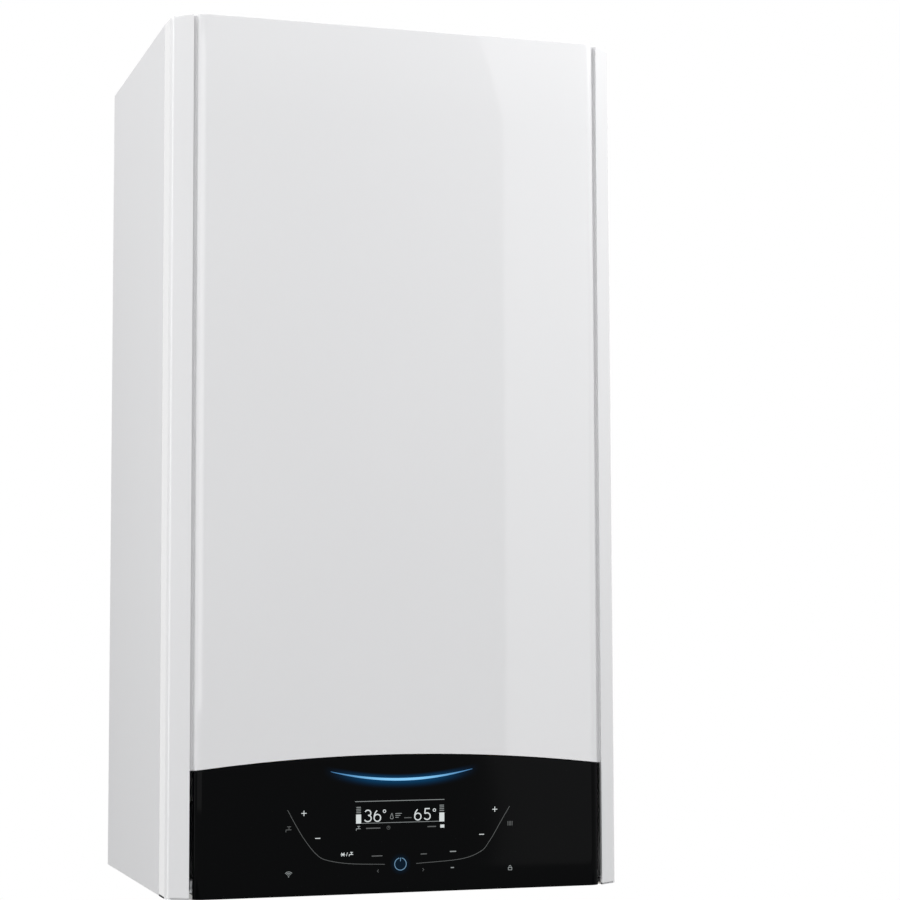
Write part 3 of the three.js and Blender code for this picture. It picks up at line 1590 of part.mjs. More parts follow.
// A ribbed knob that is turned to test the valve.
function safetyKnob() {
  const back = VALVE_NOSE_Y - GAP;
  const knob = turnedY(SAFETY_X, CROSS_Z, [
    [0, back - 20],
    [10, back - 20],
    [12, back - 17],
    [13, back],
    [0, back],
  ]);
  const ribs = [];
  for (let i = 0; i < 6; i++) {
    const a = (i * Math.PI) / 3;
    const x = SAFETY_X + 12 * Math.cos(a);
    ribs.push(rodY(x, CROSS_Z + 12 * Math.sin(a), back - 17, back - 1, 2.4, 8));
  }
  return join(knob, ...ribs);
}

// A blue tap key under the casing, on a stem up into the return block.
function fillingTapKey() {
  const stem = rodZ(TAP_X, TAP_Y, -HALF_H - 4, BLOCK_Z + 8, TAP_STEM, 16);
  const grip = box(
    TAP_X - 12,
    TAP_X + 12,
    TAP_Y - 3.5,
    TAP_Y + 3.5,
    -HALF_H - TAP_REACH,
    -HALF_H - 3,
  );
  const hub = rodZ(TAP_X, TAP_Y, -HALF_H - TAP_REACH, -HALF_H - 2, 7, 16);
  return join(stem, grip, hub);
}

// A pack of pressed plates with four collars towards the blocks.
function plateExchanger() {
  const y1 = PLATE_FRONT_Y + PLATE_DEPTH;
  const z0 = PLATE_Z - PLATE_HEIGHT / 2;
  const z1 = PLATE_Z + PLATE_HEIGHT / 2;
  const pieces = [
    plateY(roundedRect(-PLATE_HALF, PLATE_HALF, z0, z1, 14, 2), PLATE_FRONT_Y, y1),
  ];
  const plates = 4;
  for (let i = 0; i < plates; i++) {
    const y = PLATE_FRONT_Y + 4 + (i * (PLATE_DEPTH - 8)) / plates;
    pieces.push(
      plateY(
        roundedRect(-PLATE_HALF - 2, PLATE_HALF + 2, z0 - 2, z1 + 2, 15, 2),
        y,
        y + 4,
      ),
    );
  }
  for (const [, s] of SIDES)
    for (const z of PLATE_PORTS)
      pieces.push(rodY(s * PLATE_PORT_X, z, BLOCK_BACK_Y + GAP, PLATE_FRONT_Y + 1, 11));
  const foot = box(-30, 30, y1 - 1, INNER_BACK_Y, PLATE_Z - 10, PLATE_Z + 10);
  return join(...pieces, foot);
}

function pumpHousing() {
  const drum = rodY(PUMP_X, PUMP_Z, PUMP_FRONT_Y, PUMP_BACK_Y, PUMP_RADIUS, 24);
  const ports = rodZ(PUMP_X, PUMP_PORT_Y, PUMP_BOTTOM, PUMP_TOP, 15, 24);
  const vent = rodZ(PUMP_X - 30, PUMP_PORT_Y, PUMP_Z, PUMP_Z + PUMP_RADIUS + 22, 11, 16);
  const room = rodY(
    PUMP_X,
    PUMP_Z,
    PUMP_FRONT_Y - 1,
    PUMP_BACK_Y - PUMP_WALL,
    PUMP_RADIUS - PUMP_WALL,
    24,
  );
  return cut(join(drum, ports, vent), room);
}

function pumpImpeller() {
  const r = PUMP_RADIUS - PUMP_WALL - 3;
  const back = PUMP_BACK_Y - PUMP_WALL - 4;
  const front = PUMP_FRONT_Y + 5;
  const eye = rodY(PUMP_X, PUMP_Z, back - 3, back, r, 16);
  const disc = rodY(PUMP_X, PUMP_Z, front, front + 3, r, 16);
  const hub = rodY(PUMP_X, PUMP_Z, front, back, 8, 16);
  const shaft = rodY(
    PUMP_X,
    PUMP_Z,
    PUMP_FRONT_Y - GAP - PUMP_MOTOR_LENGTH / 2,
    front + 1,
    SHAFT_RADIUS,
    12,
  );
  const vanes = [];
  for (let i = 0; i < 6; i++) {
    const g = new THREE.BoxGeometry(r * 0.6, back - front - 1, 2);
    g.rotateY(0.6).translate(r * 0.58, (front + back) / 2, 0);
    vanes.push(solid(g.rotateY((i * Math.PI) / 3).translate(PUMP_X, 0, PUMP_Z)));
  }
  return join(eye, disc, hub, shaft, ...vanes);
}

function pumpMotor() {
  const back = PUMP_FRONT_Y - GAP;
  const r = PUMP_MOTOR_RADIUS;
  const can = turnedY(
    PUMP_X,
    PUMP_Z,
    [
      [0, back],
      [r + 4, back],
      [r + 4, back - 5],
      [r, back - 6],
      [r, back - PUMP_MOTOR_LENGTH + 16],
      [r - 10, back - PUMP_MOTOR_LENGTH],
      [0, back - PUMP_MOTOR_LENGTH],
    ],
    24,
  );
  const electronics = box(
    PUMP_X - 34,
    PUMP_X + 34,
    back - PUMP_MOTOR_LENGTH + 14,
    back - 12,
    PUMP_Z + 20,
    PUMP_Z + r + 10,
  );
  const bore = rodY(
    PUMP_X,
    PUMP_Z,
    back - PUMP_MOTOR_LENGTH / 2 - 1,
    back + 1,
    SHAFT_RADIUS + GAP,
    16,
  );
  return cut(join(can, electronics), bore);
}

const FLOW_X = -2 * PIPE_PITCH;

function flowPipe() {
  return pipe(
    [
      [-WATER_STUB_X, STUB_Y, STUB_Z - GAP],
      [-WATER_STUB_X, STUB_Y, STUB_Z - 62],
      [FLOW_X, PIPE_Y, STUB_Z - 104],
      [FLOW_X, PIPE_Y, BLOCK_TOP + GAP],
    ],
    22,
    WATER_PIPE,
  );
}

function returnPipe() {
  return pipe(
    [
      [PUMP_X, PUMP_PORT_Y, PUMP_TOP + GAP],
      [PUMP_X, PUMP_PORT_Y, PUMP_TOP + 34],
      [WATER_STUB_X, STUB_Y, PUMP_TOP + 76],
      [WATER_STUB_X, STUB_Y, STUB_Z - GAP],
    ],
    20,
    WATER_PIPE,
  );
}

const VESSEL_PIPE_X = -100;
const VESSEL_Y = INNER_BACK_Y - VESSEL_DEPTH / 2;
const VESSEL_BOTTOM = VESSEL_Z - VESSEL_HEIGHT / 2;

// Two pressed shells with a seam round the middle and a nipple below.
function expansionVessel() {
  const half = VESSEL_DEPTH / 2;
  const w = VESSEL_WIDTH / 2;
  const z0 = VESSEL_BOTTOM;
  const z1 = VESSEL_Z + VESSEL_HEIGHT / 2;
  const layer = (inset, reach) =>
    plateY(
      roundedRect(-w + inset, w - inset, z0 + inset, z1 - inset, 40, 3),
      VESSEL_Y - reach,
      VESSEL_Y + reach,
    );
  const nipple = rodZ(VESSEL_PIPE_X, VESSEL_Y, z0 - 8, z0 + 10, 8);
  const shells = join(layer(0, 3), layer(3, half - 7), layer(12, half), nipple);
  const t = VESSEL_WALL;
  const rooms = join(layer(3 + t, half - 7 - t), layer(12 + t, half - t));
  const mouth = rodZ(VESSEL_PIPE_X, VESSEL_Y, z0 - 9, z0 + 12, 3, 8);
  return cut(shells, rooms, mouth);
}

function vesselPipe() {
  const top = VESSEL_BOTTOM - 8 - GAP;
  return pipe(
    [
      [VESSEL_PIPE_X, VESSEL_Y, top],
      [VESSEL_PIPE_X, VESSEL_Y, top - 130],
      [VESSEL_PIPE_X, PIPE_Y, top - 170],
      [VESSEL_PIPE_X, PIPE_Y, CROSS_Z + CROSS_RADIUS + GAP],
    ],
    16,
    SMALL_PIPE,
  );
}

// The cable inlet in the tray: a nut, a thread through the tray and a bore.
function cableGland() {
  const bore = CABLE_BORE;
  const neck = GLAND_NECK;
  const low = -HALF_H - GAP;
  return turnedZ(
    GLAND_X,
    GLAND_Y,
    [
      [bore, low - GLAND_NUT],
      [neck, low - GLAND_NUT],
      [GLAND_RADIUS, low - GLAND_NUT + 3],
      [GLAND_RADIUS, low],
      [neck, low],
      [neck, FLOOR_Z + GAP],
      [GLAND_RADIUS, FLOOR_Z + GAP],
      [GLAND_RADIUS, FLOOR_Z + 6],
      [bore, FLOOR_Z + 6],
      [bore, low - GLAND_NUT],
    ],
    20,
  );
}

add(chassis, "flow_block", flowBlock(), "brass");
add(chassis, "return_block", returnBlock(), "brass");
add(turbineBody, "flow_turbine", flowTurbine(), "white_plastic");
add(diverterBody, "diverter_spindle", diverterSpindle(), "brass");
add(chassis, "diverter_motor", diverterMotor(), "black_plastic");
add(chassis, "safety_valve", safetyValve(), "brass");
add(knobBody, "safety_valve_knob", safetyKnob(), "red_plastic");
add(tapBody, "filling_tap_key", fillingTapKey(), "blue_plastic");
add(chassis, "plate_exchanger", plateExchanger(), "stainless");
add(chassis, "pump_housing", pumpHousing(), "grey_plastic");
add(pumpBody, "pump_impeller", pumpImpeller(), "white_plastic");
add(chassis, "pump_motor", pumpMotor(), "black_plastic");
add(chassis, "flow_pipe", flowPipe(), "copper");
add(chassis, "return_pipe", returnPipe(), "copper");
add(chassis, "expansion_vessel", expansionVessel(), "red_paint");
add(chassis, "vessel_pipe", vesselPipe(), "stainless");
add(chassis, "cable_gland", cableGland(), "black_plastic");

export default boiler;
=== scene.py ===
# %% [markdown]
# # A wall-hung combi boiler
# The boiler is a sheet-steel casing with a white front cover that pulls off and a
# black glass panel that tilts forward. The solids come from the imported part. This
# lesson gives them their finishes and adds the finer surfaces that a solid leaves out.

import json
import math

import bmesh
import bpy
import numpy as np
from mathutils import Matrix, Vector


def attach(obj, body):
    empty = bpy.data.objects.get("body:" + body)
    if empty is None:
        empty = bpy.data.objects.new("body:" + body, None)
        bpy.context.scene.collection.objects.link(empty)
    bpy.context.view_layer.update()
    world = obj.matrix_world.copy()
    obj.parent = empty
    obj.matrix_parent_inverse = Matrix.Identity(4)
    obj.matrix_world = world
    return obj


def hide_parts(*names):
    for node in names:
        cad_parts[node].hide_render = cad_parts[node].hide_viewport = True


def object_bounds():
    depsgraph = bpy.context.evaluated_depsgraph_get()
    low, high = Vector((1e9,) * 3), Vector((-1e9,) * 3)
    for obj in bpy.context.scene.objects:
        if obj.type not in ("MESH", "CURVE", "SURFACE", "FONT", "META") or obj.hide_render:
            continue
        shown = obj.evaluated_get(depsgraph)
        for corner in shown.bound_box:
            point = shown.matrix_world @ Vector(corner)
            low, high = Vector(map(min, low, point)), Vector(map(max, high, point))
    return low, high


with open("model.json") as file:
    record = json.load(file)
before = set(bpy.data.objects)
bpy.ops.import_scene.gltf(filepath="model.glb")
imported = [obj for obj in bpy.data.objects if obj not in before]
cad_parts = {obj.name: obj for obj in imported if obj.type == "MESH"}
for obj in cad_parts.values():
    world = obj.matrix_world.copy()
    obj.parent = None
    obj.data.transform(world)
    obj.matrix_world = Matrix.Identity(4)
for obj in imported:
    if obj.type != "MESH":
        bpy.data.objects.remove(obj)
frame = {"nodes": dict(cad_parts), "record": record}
first_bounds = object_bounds()
MM = 0.001

# %% [markdown]
# ## The camera
# The photograph is taken from the left and a little below the middle, with a long
# lens. A camera could be placed by eye, but the casing's corners have known sizes,
# so its place was worked out from them. The lens is in millimetres on a 36 mm
# sensor, for a square picture.

# %% The camera
CAMERA_PLACE = Vector((-0.5432, -2.1865, -0.1541))
CAMERA_YAW, CAMERA_PITCH, CAMERA_ROLL = 17.44, 4.63, -0.18
FOCAL_PIXELS, PICTURE_PIXELS, SENSOR = 2268.0, 900.0, 36.0

camera = bpy.data.objects.new("camera", bpy.data.cameras.new("camera"))
bpy.context.scene.collection.objects.link(camera)
camera.data.sensor_width = SENSOR
camera.data.lens = FOCAL_PIXELS / PICTURE_PIXELS * SENSOR
camera.location = CAMERA_PLACE
turn = Matrix.Rotation(math.radians(-CAMERA_YAW), 4, "Z")
lift = Matrix.Rotation(math.radians(90 + CAMERA_PITCH), 4, "X")
spin = Matrix.Rotation(math.radians(CAMERA_ROLL), 4, "Z")
camera.rotation_euler = (turn @ lift @ spin).to_euler()
bpy.context.scene.camera = camera
bpy.context.scene.view_settings.view_transform = "Standard"
print("lens", round(camera.data.lens, 1), "mm")

# %% [markdown]
# ## Shader sums
# A finish is a small calculation on the surface. It could be wired by hand in the
# node editor, but as an expression it reads like its formula. `Term` wraps a
# socket, so that `1 - mask` or `height * 0.5` adds the Math nodes for it. `Nodes`
# holds one node tree, and its one `node` method adds any other node.


# %% Shader sums
class Term:
    """A number that varies over a surface: operators on it add Math nodes."""

    def __init__(self, nodes, socket):
        self.nodes, self.socket = nodes, socket

    def math(self, operation, *others):
        values = dict(enumerate((self,) + others))
        return self.nodes.node("Math", {"operation": operation}, values)

    def reflected(self, operation, other):
        return self.nodes.node("Math", {"operation": operation}, {0: other, 1: self})

    def __add__(self, other):
        return self.math("ADD", other)

    def __sub__(self, other):
        return self.math("SUBTRACT", other)

    def __mul__(self, other):
        return self.math("MULTIPLY", other)

    def __truediv__(self, other):
        return self.math("DIVIDE", other)

    def __pow__(self, other):
        return self.math("POWER", other)

    def __rsub__(self, other):
        return self.reflected("SUBTRACT", other)

    def __rtruediv__(self, other):
        return self.reflected("DIVIDE", other)

    def __rpow__(self, other):
        return self.reflected("POWER", other)

    __radd__, __rmul__ = __add__, __mul__

    def abs(self):
        return self.math("ABSOLUTE")

    def step(self, low, high):
        """0 below low and 1 above high, with a smooth ramp between."""
        settings = {"interpolation_type": "SMOOTHSTEP"}
        return self.nodes.node("MapRange", settings, {0: self, 1: low, 2: high})


class Nodes:
    """One node tree, of a material or of the world."""

    def __init__(self, owner):
        owner.use_nodes = True
        self.tree = owner.node_tree

    def put(self, value, socket):
        """Links a Term to the socket, or sets a number or colour on it."""
        if isinstance(value, Term):
            self.tree.links.new(value.socket, socket)
        else:
            socket.default_value = value

    def node(self, kind, settings=None, inputs=None, out=0):
        """Adds a node: first its settings, then the values or links it takes in."""
        made = self.tree.nodes.new("ShaderNode" + kind)
        for key, value in (settings or {}).items():
            setattr(made, key, value)
        for key, value in (inputs or {}).items():
            self.put(value, made.inputs[key])
        return Term(self, made.outputs[out]) if made.outputs else None


print("shader sums ready")

# %% [markdown]
# `Finish` is a material. Its patterns could be pictures wrapped round each piece,
# but a noise on the piece's own Object coordinates has no seams and suits any
# size. A perfectly even surface looks like a drawing, so `gloss` and `vary` let
# the roughness and the tone wander a little.


# %% One finish
class Finish(Nodes):
    """A material with its shader, whose constants are set on the sockets."""

    def __init__(self, name, colour, roughness, metallic=0.0, **constants):
        self.material = bpy.data.materials.new(name)
        super().__init__(self.material)
        self.shader = self.tree.nodes["Principled BSDF"]
        self.colour = colour
        self.set("Base Color", (*colour, 1.0))
        self.set("Roughness", roughness)
        self.set("Metallic", metallic)
        for key, value in constants.items():
            self.set(key.replace("_", " "), value)

    def set(self, socket, value):
        self.put(value, self.shader.inputs[socket])
        return self

    def where(self):
        """The place on the piece, as a vector in metres."""
        return self.node("TexCoord", out="Object")

    def places(self):
        """x, y and z on the piece, in metres."""
        where = self.where()
        return [self.node("SeparateXYZ", inputs={0: where}, out=i) for i in range(3)]

    def stretched(self, scale):
        """The place on the piece with its three axes scaled."""
        return self.node("Mapping", inputs={"Vector": self.where(), "Scale": scale})

    def noise(self, scale, detail=2.0, where=None):
        values = {"Vector": where or self.where(), "Scale": scale, "Detail": detail}
        return self.node("TexNoise", inputs=values)

    def mix(self, factor, first, second):
        """Blends two colours: the first at factor 0 and the second at 1."""
        inputs = {0: factor, 6: first, 7: second}
        return self.node("Mix", {"data_type": "RGBA"}, inputs, out=2)

    def bump(self, height, distance):
        values = {"Height": height, "Distance": distance}
        return self.set("Normal", self.node("Bump", inputs=values))

    def gloss(self, mask, spread, mean):
        """Roughness mean + spread (mask - 0.5), for a mask from 0 to 1."""
        return self.set("Roughness", mask * spread + (mean - spread / 2))

    def vary(self, mask, spread, tint=None):
        """Shades the colour by the mask: darker by `spread` at 0, or tinted."""
        dark = tint or [c * (1 - spread) for c in self.colour]
        self.set("Base Color", self.mix(mask, (*dark, 1.0), (*self.colour, 1.0)))
        return self


print("finishes can be made")

# %% [markdown]
# ## Painted and plastic finishes
# White enamel is sprayed powder that melts to an almost even skin with a very
# slight ripple. The cover's lies under a clear coat, which mirrors a bright panel,
# and the side and top panels are satin. Moulded plastic has the fine grain of a
# spark-eroded mould. All are a plain colour with a small bump and a little spread
# in the gloss.


# %% Painted and plastic finishes
def painted(name, colour, roughness, ripple=260, depth=0.00002, **constants):
    """Powder coat: a noise of about 1/ripple metres gives the orange peel."""
    paint = Finish(name, colour, roughness, **constants)
    paint.bump(paint.noise(ripple, 1.0), depth)
    paint.gloss(paint.noise(6.0), 0.05, roughness)
    return paint.vary(paint.noise(2.5).step(0.3, 0.7), 0.012)


def moulded(name, colour, roughness, grain=1400, depth=0.00003):
    """Plastic: fine grain, and a gloss that wanders where hands have been."""
    plastic = Finish(name, colour, roughness)
    plastic.bump(plastic.noise(grain, 1.0), depth)
    plastic.gloss(plastic.noise(14.0), 0.16, roughness)
    return plastic.vary(plastic.noise(22.0).step(0.25, 0.75), 0.10)


WHITE = (0.80, 0.80, 0.808)
CLEAR = {"Coat_Weight": 0.9, "Coat_Roughness": 0.025, "Specular_IOR_Level": 0.3}
SATIN = {"Specular_IOR_Level": 0.12}
finishes = {
    "white_enamel": painted("white_enamel", WHITE, 0.34, **CLEAR),
    "satin_enamel": painted("satin_enamel", WHITE, 0.55, **SATIN),
    "red_paint": painted("red_paint", (0.40, 0.035, 0.026), 0.38, depth=0.00005),
    "black_plastic": moulded("black_plastic", (0.024, 0.025, 0.028), 0.45),
    "grey_plastic": moulded("grey_plastic", (0.26, 0.27, 0.285), 0.5),
    "white_plastic": moulded("white_plastic", (0.70, 0.70, 0.675), 0.42),
    "red_plastic": moulded("red_plastic", (0.47, 0.025, 0.018), 0.4),
    "blue_plastic": moulded("blue_plastic", (0.028, 0.10, 0.38), 0.4),
    "rubber": moulded("rubber", (0.020, 0.020, 0.022), 0.75, 700, 0.00006),
    "ceramic": moulded("ceramic", (0.76, 0.72, 0.62), 0.22, 300, 0.00002),
}
print(len(finishes), "painted and plastic finishes")

# %% [markdown]
# ## Metals
# Zinc freezes on steel in flat crystals, the spangle, so galvanised sheet gets
# cells of slightly different tone. Rolled stainless and drawn copper have fine
# lines along the way they were worked: a noise stretched that way. Cast
# aluminium is matt and pebbly.


# %% Metals
def galvanised(name, colour, size):
    """Spangle: each Voronoi cell of 1/size metres has its own tone and gloss."""
    roughness = 0.44
    zinc = Finish(name, colour, roughness, 1.0)
    cells = zinc.node("TexVoronoi", inputs={"Vector": zinc.where(), "Scale": size}, out=1)
    tone = zinc.node("SeparateColor", inputs={0: cells})
    zinc.gloss(tone, 0.16, roughness)
    zinc.bump(zinc.noise(500), 0.00002)
    return zinc.vary(tone * 0.7 + zinc.noise(9.0) * 0.3, 0.16)


def drawn(name, colour, roughness, lines, tarnish):
    """Fine lines: noise whose scale is high across them and low along them."""
    metal = Finish(name, colour, roughness, 1.0)
    streaks = metal.noise(1.0, 3.0, metal.stretched(lines))
    metal.bump(streaks, 0.00003)
    metal.gloss(streaks, 0.18, roughness)
    return metal.vary(metal.noise(18.0, 4.0).step(0.3, 0.7), tarnish)


def cast(name, colour, roughness):
    """Die casting: pebbled skin of about two millimetres, and cloudy tone."""
    metal = Finish(name, colour, roughness, 1.0)
    metal.bump(metal.noise(420, 3.0), 0.00012)
    metal.gloss(metal.noise(60.0), 0.14, roughness)
    return metal.vary(metal.noise(25.0, 3.0).step(0.3, 0.7), 0.14)


finishes.update(
    galvanised=galvanised("galvanised", (0.60, 0.615, 0.63), 70.0),
    zinc=galvanised("zinc", (0.66, 0.655, 0.63), 400.0),
    stainless=drawn("stainless", (0.62, 0.63, 0.64), 0.28, (900, 900, 30), 0.12),
    copper=drawn("copper", (0.66, 0.31, 0.19), 0.30, (500, 500, 40), 0.35),
    brass=drawn("brass", (0.62, 0.45, 0.20), 0.34, (300, 300, 300), 0.22),
    aluminium=cast("aluminium", (0.54, 0.55, 0.565), 0.46),
)
print(len(finishes), "finishes so far")

# %% [markdown]
# ## The lit arc and the black glass
# A light guide under the arch shines blue. The line is thickest in the middle and
# dies at its ends, and the glass glows round it and a little round the power key.
# Lamps behind the glass could do this, but they are slow and grainy, so the glow
# is an emission. It is worked out from the height above the arc,
# z0(x) = low + sag (x / half)^2, so it follows the line. The marks on the glass
# are measured from an origin near the middle of its lower edge.

# %% The lit arc and the black glass
HALF_HEIGHT = 372.5 * MM
GLOW_HALF, GLOW_SAG = 63 * MM, 7.7 * MM
GLOW_LOW = -HALF_HEIGHT + 95.2 * MM
GLOW_UP, GLOW_DOWN = 5 * MM, 10 * MM
MARKS_X, MARKS_Z = -1.7 * MM, 1.1 * MM - HALF_HEIGHT
POWER_KEY, KEY_GLOW = 22.9 * MM, 10 * MM


def arc_height(x):
    """Height of the lit line at x: a parabola that sags in the middle."""
    return GLOW_LOW + GLOW_SAG * (x / GLOW_HALF) ** 2


glass = Finish("black_glass", (0.0016, 0.0018, 0.0021), 0.07, Specular_IOR_Level=0.035)
gx, _, gz = glass.places()
above = gz - arc_height(gx)
over = 1 - (above / GLOW_UP).step(0.0, 1.0)
under = (1 - (above / -GLOW_DOWN).step(0.0, 1.0)) ** 2
along = 1 - (gx.abs() / GLOW_HALF).step(0.30, 1.12)
from_key = ((gx - MARKS_X) ** 2 + (gz - (MARKS_Z + POWER_KEY)) ** 2) ** 0.5
near_key = 1 - (from_key / KEY_GLOW).step(0.3, 1.0)
key_glow = glass.mix(near_key, (0, 0, 0, 1), (0.0, 0.007, 0.018, 1))
glow = glass.mix(over * under * along, key_glow, (0.0, 0.045, 0.125, 1))
glass.set("Emission Color", glow).set("Emission Strength", 1.0)
glass.gloss(glass.noise(30.0), 0.03, 0.07)
finishes["black_glass"] = glass

window = Finish("display", (0.004, 0.005, 0.007), 0.12)
window.bump(window.noise(900.0), 0.00001)
finishes["display"] = window
print("the lit line is", round(2 * GLOW_HALF / MM), "mm long")

# %% [markdown]
# ## Lit marks and the circuit board
# Marks that shine need only an emission. The lit line's goes from pale blue in the
# middle to deep blue at its ends. The board inside the control box is green
# lacquer over copper tracks. They could be drawn one by one, but a brick pattern
# gives their rows with one node, which is enough behind a lid.


# %% Lit marks and the circuit board
def lit(name, colour):
    """A mark that shines with one colour."""
    mark = Finish(name, (0.01, 0.01, 0.01), 0.4)
    return mark.set("Emission Color", (*colour, 1.0)).set("Emission Strength", 1.0)


line_light = Finish("blue_light", (0.01, 0.02, 0.03), 0.3)
to_end = (line_light.places()[0].abs() / GLOW_HALF).step(0.15, 1.0)
tones = line_light.mix(to_end, (0.19, 0.54, 0.88, 1), (0.02, 0.17, 0.40, 1))
line_light.set("Emission Color", tones).set("Emission Strength", 1.0)

board = Finish("circuit", (0.012, 0.10, 0.035), 0.35)
bx, _, bz = board.places()
flat = board.node("CombineXYZ", inputs={0: bx, 1: bz, 2: 0.0})
bricks = {"Vector": flat, "Scale": 90.0, "Mortar Size": 0.06}
tracks = board.node("TexBrick", inputs=bricks, out=1)
board.vary(1 - tracks * 0.6, 0.0, tint=(0.03, 0.22, 0.08))
board.bump(tracks, 0.00004)

finishes.update(
    blue_light=line_light,
    bright_mark=lit("bright_mark", (0.62, 0.66, 0.66)),
    middle_mark=lit("middle_mark", (0.22, 0.24, 0.24)),
    dim_mark=lit("dim_mark", (0.06, 0.065, 0.065)),
    power_mark=lit("power_mark", (0.10, 0.24, 0.38)),
    circuit=board,
)
print(len(finishes), "finishes")

# %% [markdown]
# ## Surfaces from numpy
# A new piece is a grid of points: rows along one way, columns along the other. It
# could be modelled by hand, but worked out from its sizes it follows the solid it
# stands for. All its quads are worked out at once, and the finished piece is told
# its finish and the body it moves with.

# %% Surfaces from numpy
SHARP = math.radians(32)


def grid_faces(rows, columns, wrap=False):
    """Quads between neighbouring points; wrap joins the last column to the first."""
    i = np.arange(rows - 1)[:, None] * columns
    j = np.arange(columns if wrap else columns - 1)[None, :]
    k = (j + 1) % columns
    quads = np.stack([i + j, i + k, i + columns + k, i + columns + j], -1)
    return quads.reshape(-1, 4)


def ring_faces(rows, columns, wrap=False):
    """The same, and one row more of quads that joins the last row to the first."""
    return grid_faces(rows + 1, columns, wrap) % (rows * columns)


def closed_bar(rows):
    """Rows of points that go round a bar, with its quads and its two end faces."""
    count, n = rows.shape[:2]
    first = np.arange(count) * n
    ends = [first.tolist(), (first + n - 1)[::-1].tolist()]
    return rows, ring_faces(count, n).tolist() + ends


def piece(name, points, faces, finish, body, replaces=(), slot=None):
    """A mesh from points in metres, smooth except where faces meet sharply."""
    mesh = bpy.data.meshes.new(name)
    mesh.from_pydata(np.asarray(points).reshape(-1, 3).tolist(), [], faces)
    mesh.validate()
    shape = bmesh.new()
    shape.from_mesh(mesh)
    bmesh.ops.recalc_face_normals(shape, faces=shape.faces)
    shape.to_mesh(mesh)
    shape.free()
    mesh.shade_smooth()
    mesh.set_sharp_from_angle(angle=SHARP)
    mesh.materials.append(finishes[finish].material)
    made = bpy.data.objects.new(name, mesh)
    bpy.context.scene.collection.objects.link(made)
    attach(made, body)
    if replaces:
        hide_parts(*replaces)
    return made


def joined(parts):
    """Several (points, faces) put in one list, with the faces' numbers moved on."""
    points, faces, count = [], [], 0
    for some_points, some_faces in parts:
        some_points = np.asarray(some_points).reshape(-1, 3)
        faces += [[int(n) + count for n in face] for face in some_faces]
        points.append(some_points)
        count += len(some_points)
    return np.concatenate(points), faces


def offset(path, distance):
    """A path of xy points moved sideways: each point goes along the mean normal
    of its two neighbours, and further at a corner, by 1 / (1 + n . m)."""
    step = np.diff(path, axis=0)
    step /= np.linalg.norm(step, axis=1)[:, None]
    side = np.stack([-step[:, 1], step[:, 0]], 1)
    before, after = np.vstack([side[:1], side]), np.vstack([side, side[-1:]])
    reach = 1 + (before * after).sum(1)
    return path + (before + after) * (np.asarray(distance) / reach)[:, None]


print("surface helpers ready")

# %% [markdown]
# ## The front cover
# The cover is one folded sheet: a flat field with rolled edges, a groove at each
# side, and a canted pillar that turns into the casing's side. It could be cut from
# a box, but its section is the same all the way up, as a folding press makes it,
# so the skin is that section carried along the height. Two things change on the
# way: the field stops at the arch, and the upper edge is rounded, tightly on the
# field and more at the outer corners.

# %% The cover's section
HALF_WIDTH, FRONT, JOINT = 200 * MM, -319 * MM, -275.5 * MM
SHEET, FOLD, REAR_LIP = 1.5 * MM, 14 * MM, 3 * MM
PILLAR, FIELD, GROOVE = 182.4 * MM, 179.2 * MM, 7 * MM
EDGE_WIDTH, EDGE_DROP, BEND = 9.2 * MM, 5.5 * MM, 4.5 * MM
CANT_START, CANT_END = FRONT + 3 * MM, FRONT + 15.7 * MM
ARCH_SIDE, ARCH_RISE = -HALF_HEIGHT + 105.5 * MM, 11 * MM
ROOF, SEAL_FOOT = HALF_HEIGHT - SHEET, ARCH_SIDE + ARCH_RISE + 3 * MM
HAIR = 0.02 * MM


def front_line(columns, steps=14):
    """Half the front from its middle: the flat field, then a quarter ellipse of
    half widths EDGE_WIDTH and EDGE_DROP that rolls back into the groove."""
    t = np.linspace(0, math.pi / 2, steps)
    flat_x = np.linspace(0, FIELD - EDGE_WIDTH, columns)[:-1]
    edge_x = FIELD - EDGE_WIDTH + EDGE_WIDTH * np.sin(t)
    edge_y = FRONT + EDGE_DROP * (1 - np.cos(t))
    y = np.concatenate([np.full(columns - 1, FRONT), edge_y])
    return np.stack([np.concatenate([flat_x, edge_x]), y], 1)


def canted_face(steps):
    """Flat from the groove, then a bend (1-t)^2 a + 2t(1-t) c + t^2 b round the
    corner c, which is where the canted face would meet the side."""
    start = np.array([PILLAR, CANT_START])
    corner = np.array([HALF_WIDTH, CANT_END])
    back = (start - corner) / np.linalg.norm(start - corner)
    a, b = corner + back * BEND, corner + (0, BEND)
    t = np.linspace(0, 1, steps)[:, None]
    bend = (1 - t) ** 2 * a + 2 * t * (1 - t) * corner + t**2 * b
    return np.vstack([start, (start + a) / 2, bend])


def arch(x):
    """Height of the cover's lower edge: a circle through the arch's three points."""
    radius = (PILLAR**2 + ARCH_RISE**2) / (2 * ARCH_RISE)
    fall = radius - np.sqrt(radius**2 - np.clip(x, -PILLAR, PILLAR) ** 2)
    return ARCH_SIDE + ARCH_RISE - fall


def mirrored(right):
    """The right half's points with their mirror images before them."""
    return np.vstack([right[:0:-1] * [-1, 1], right])


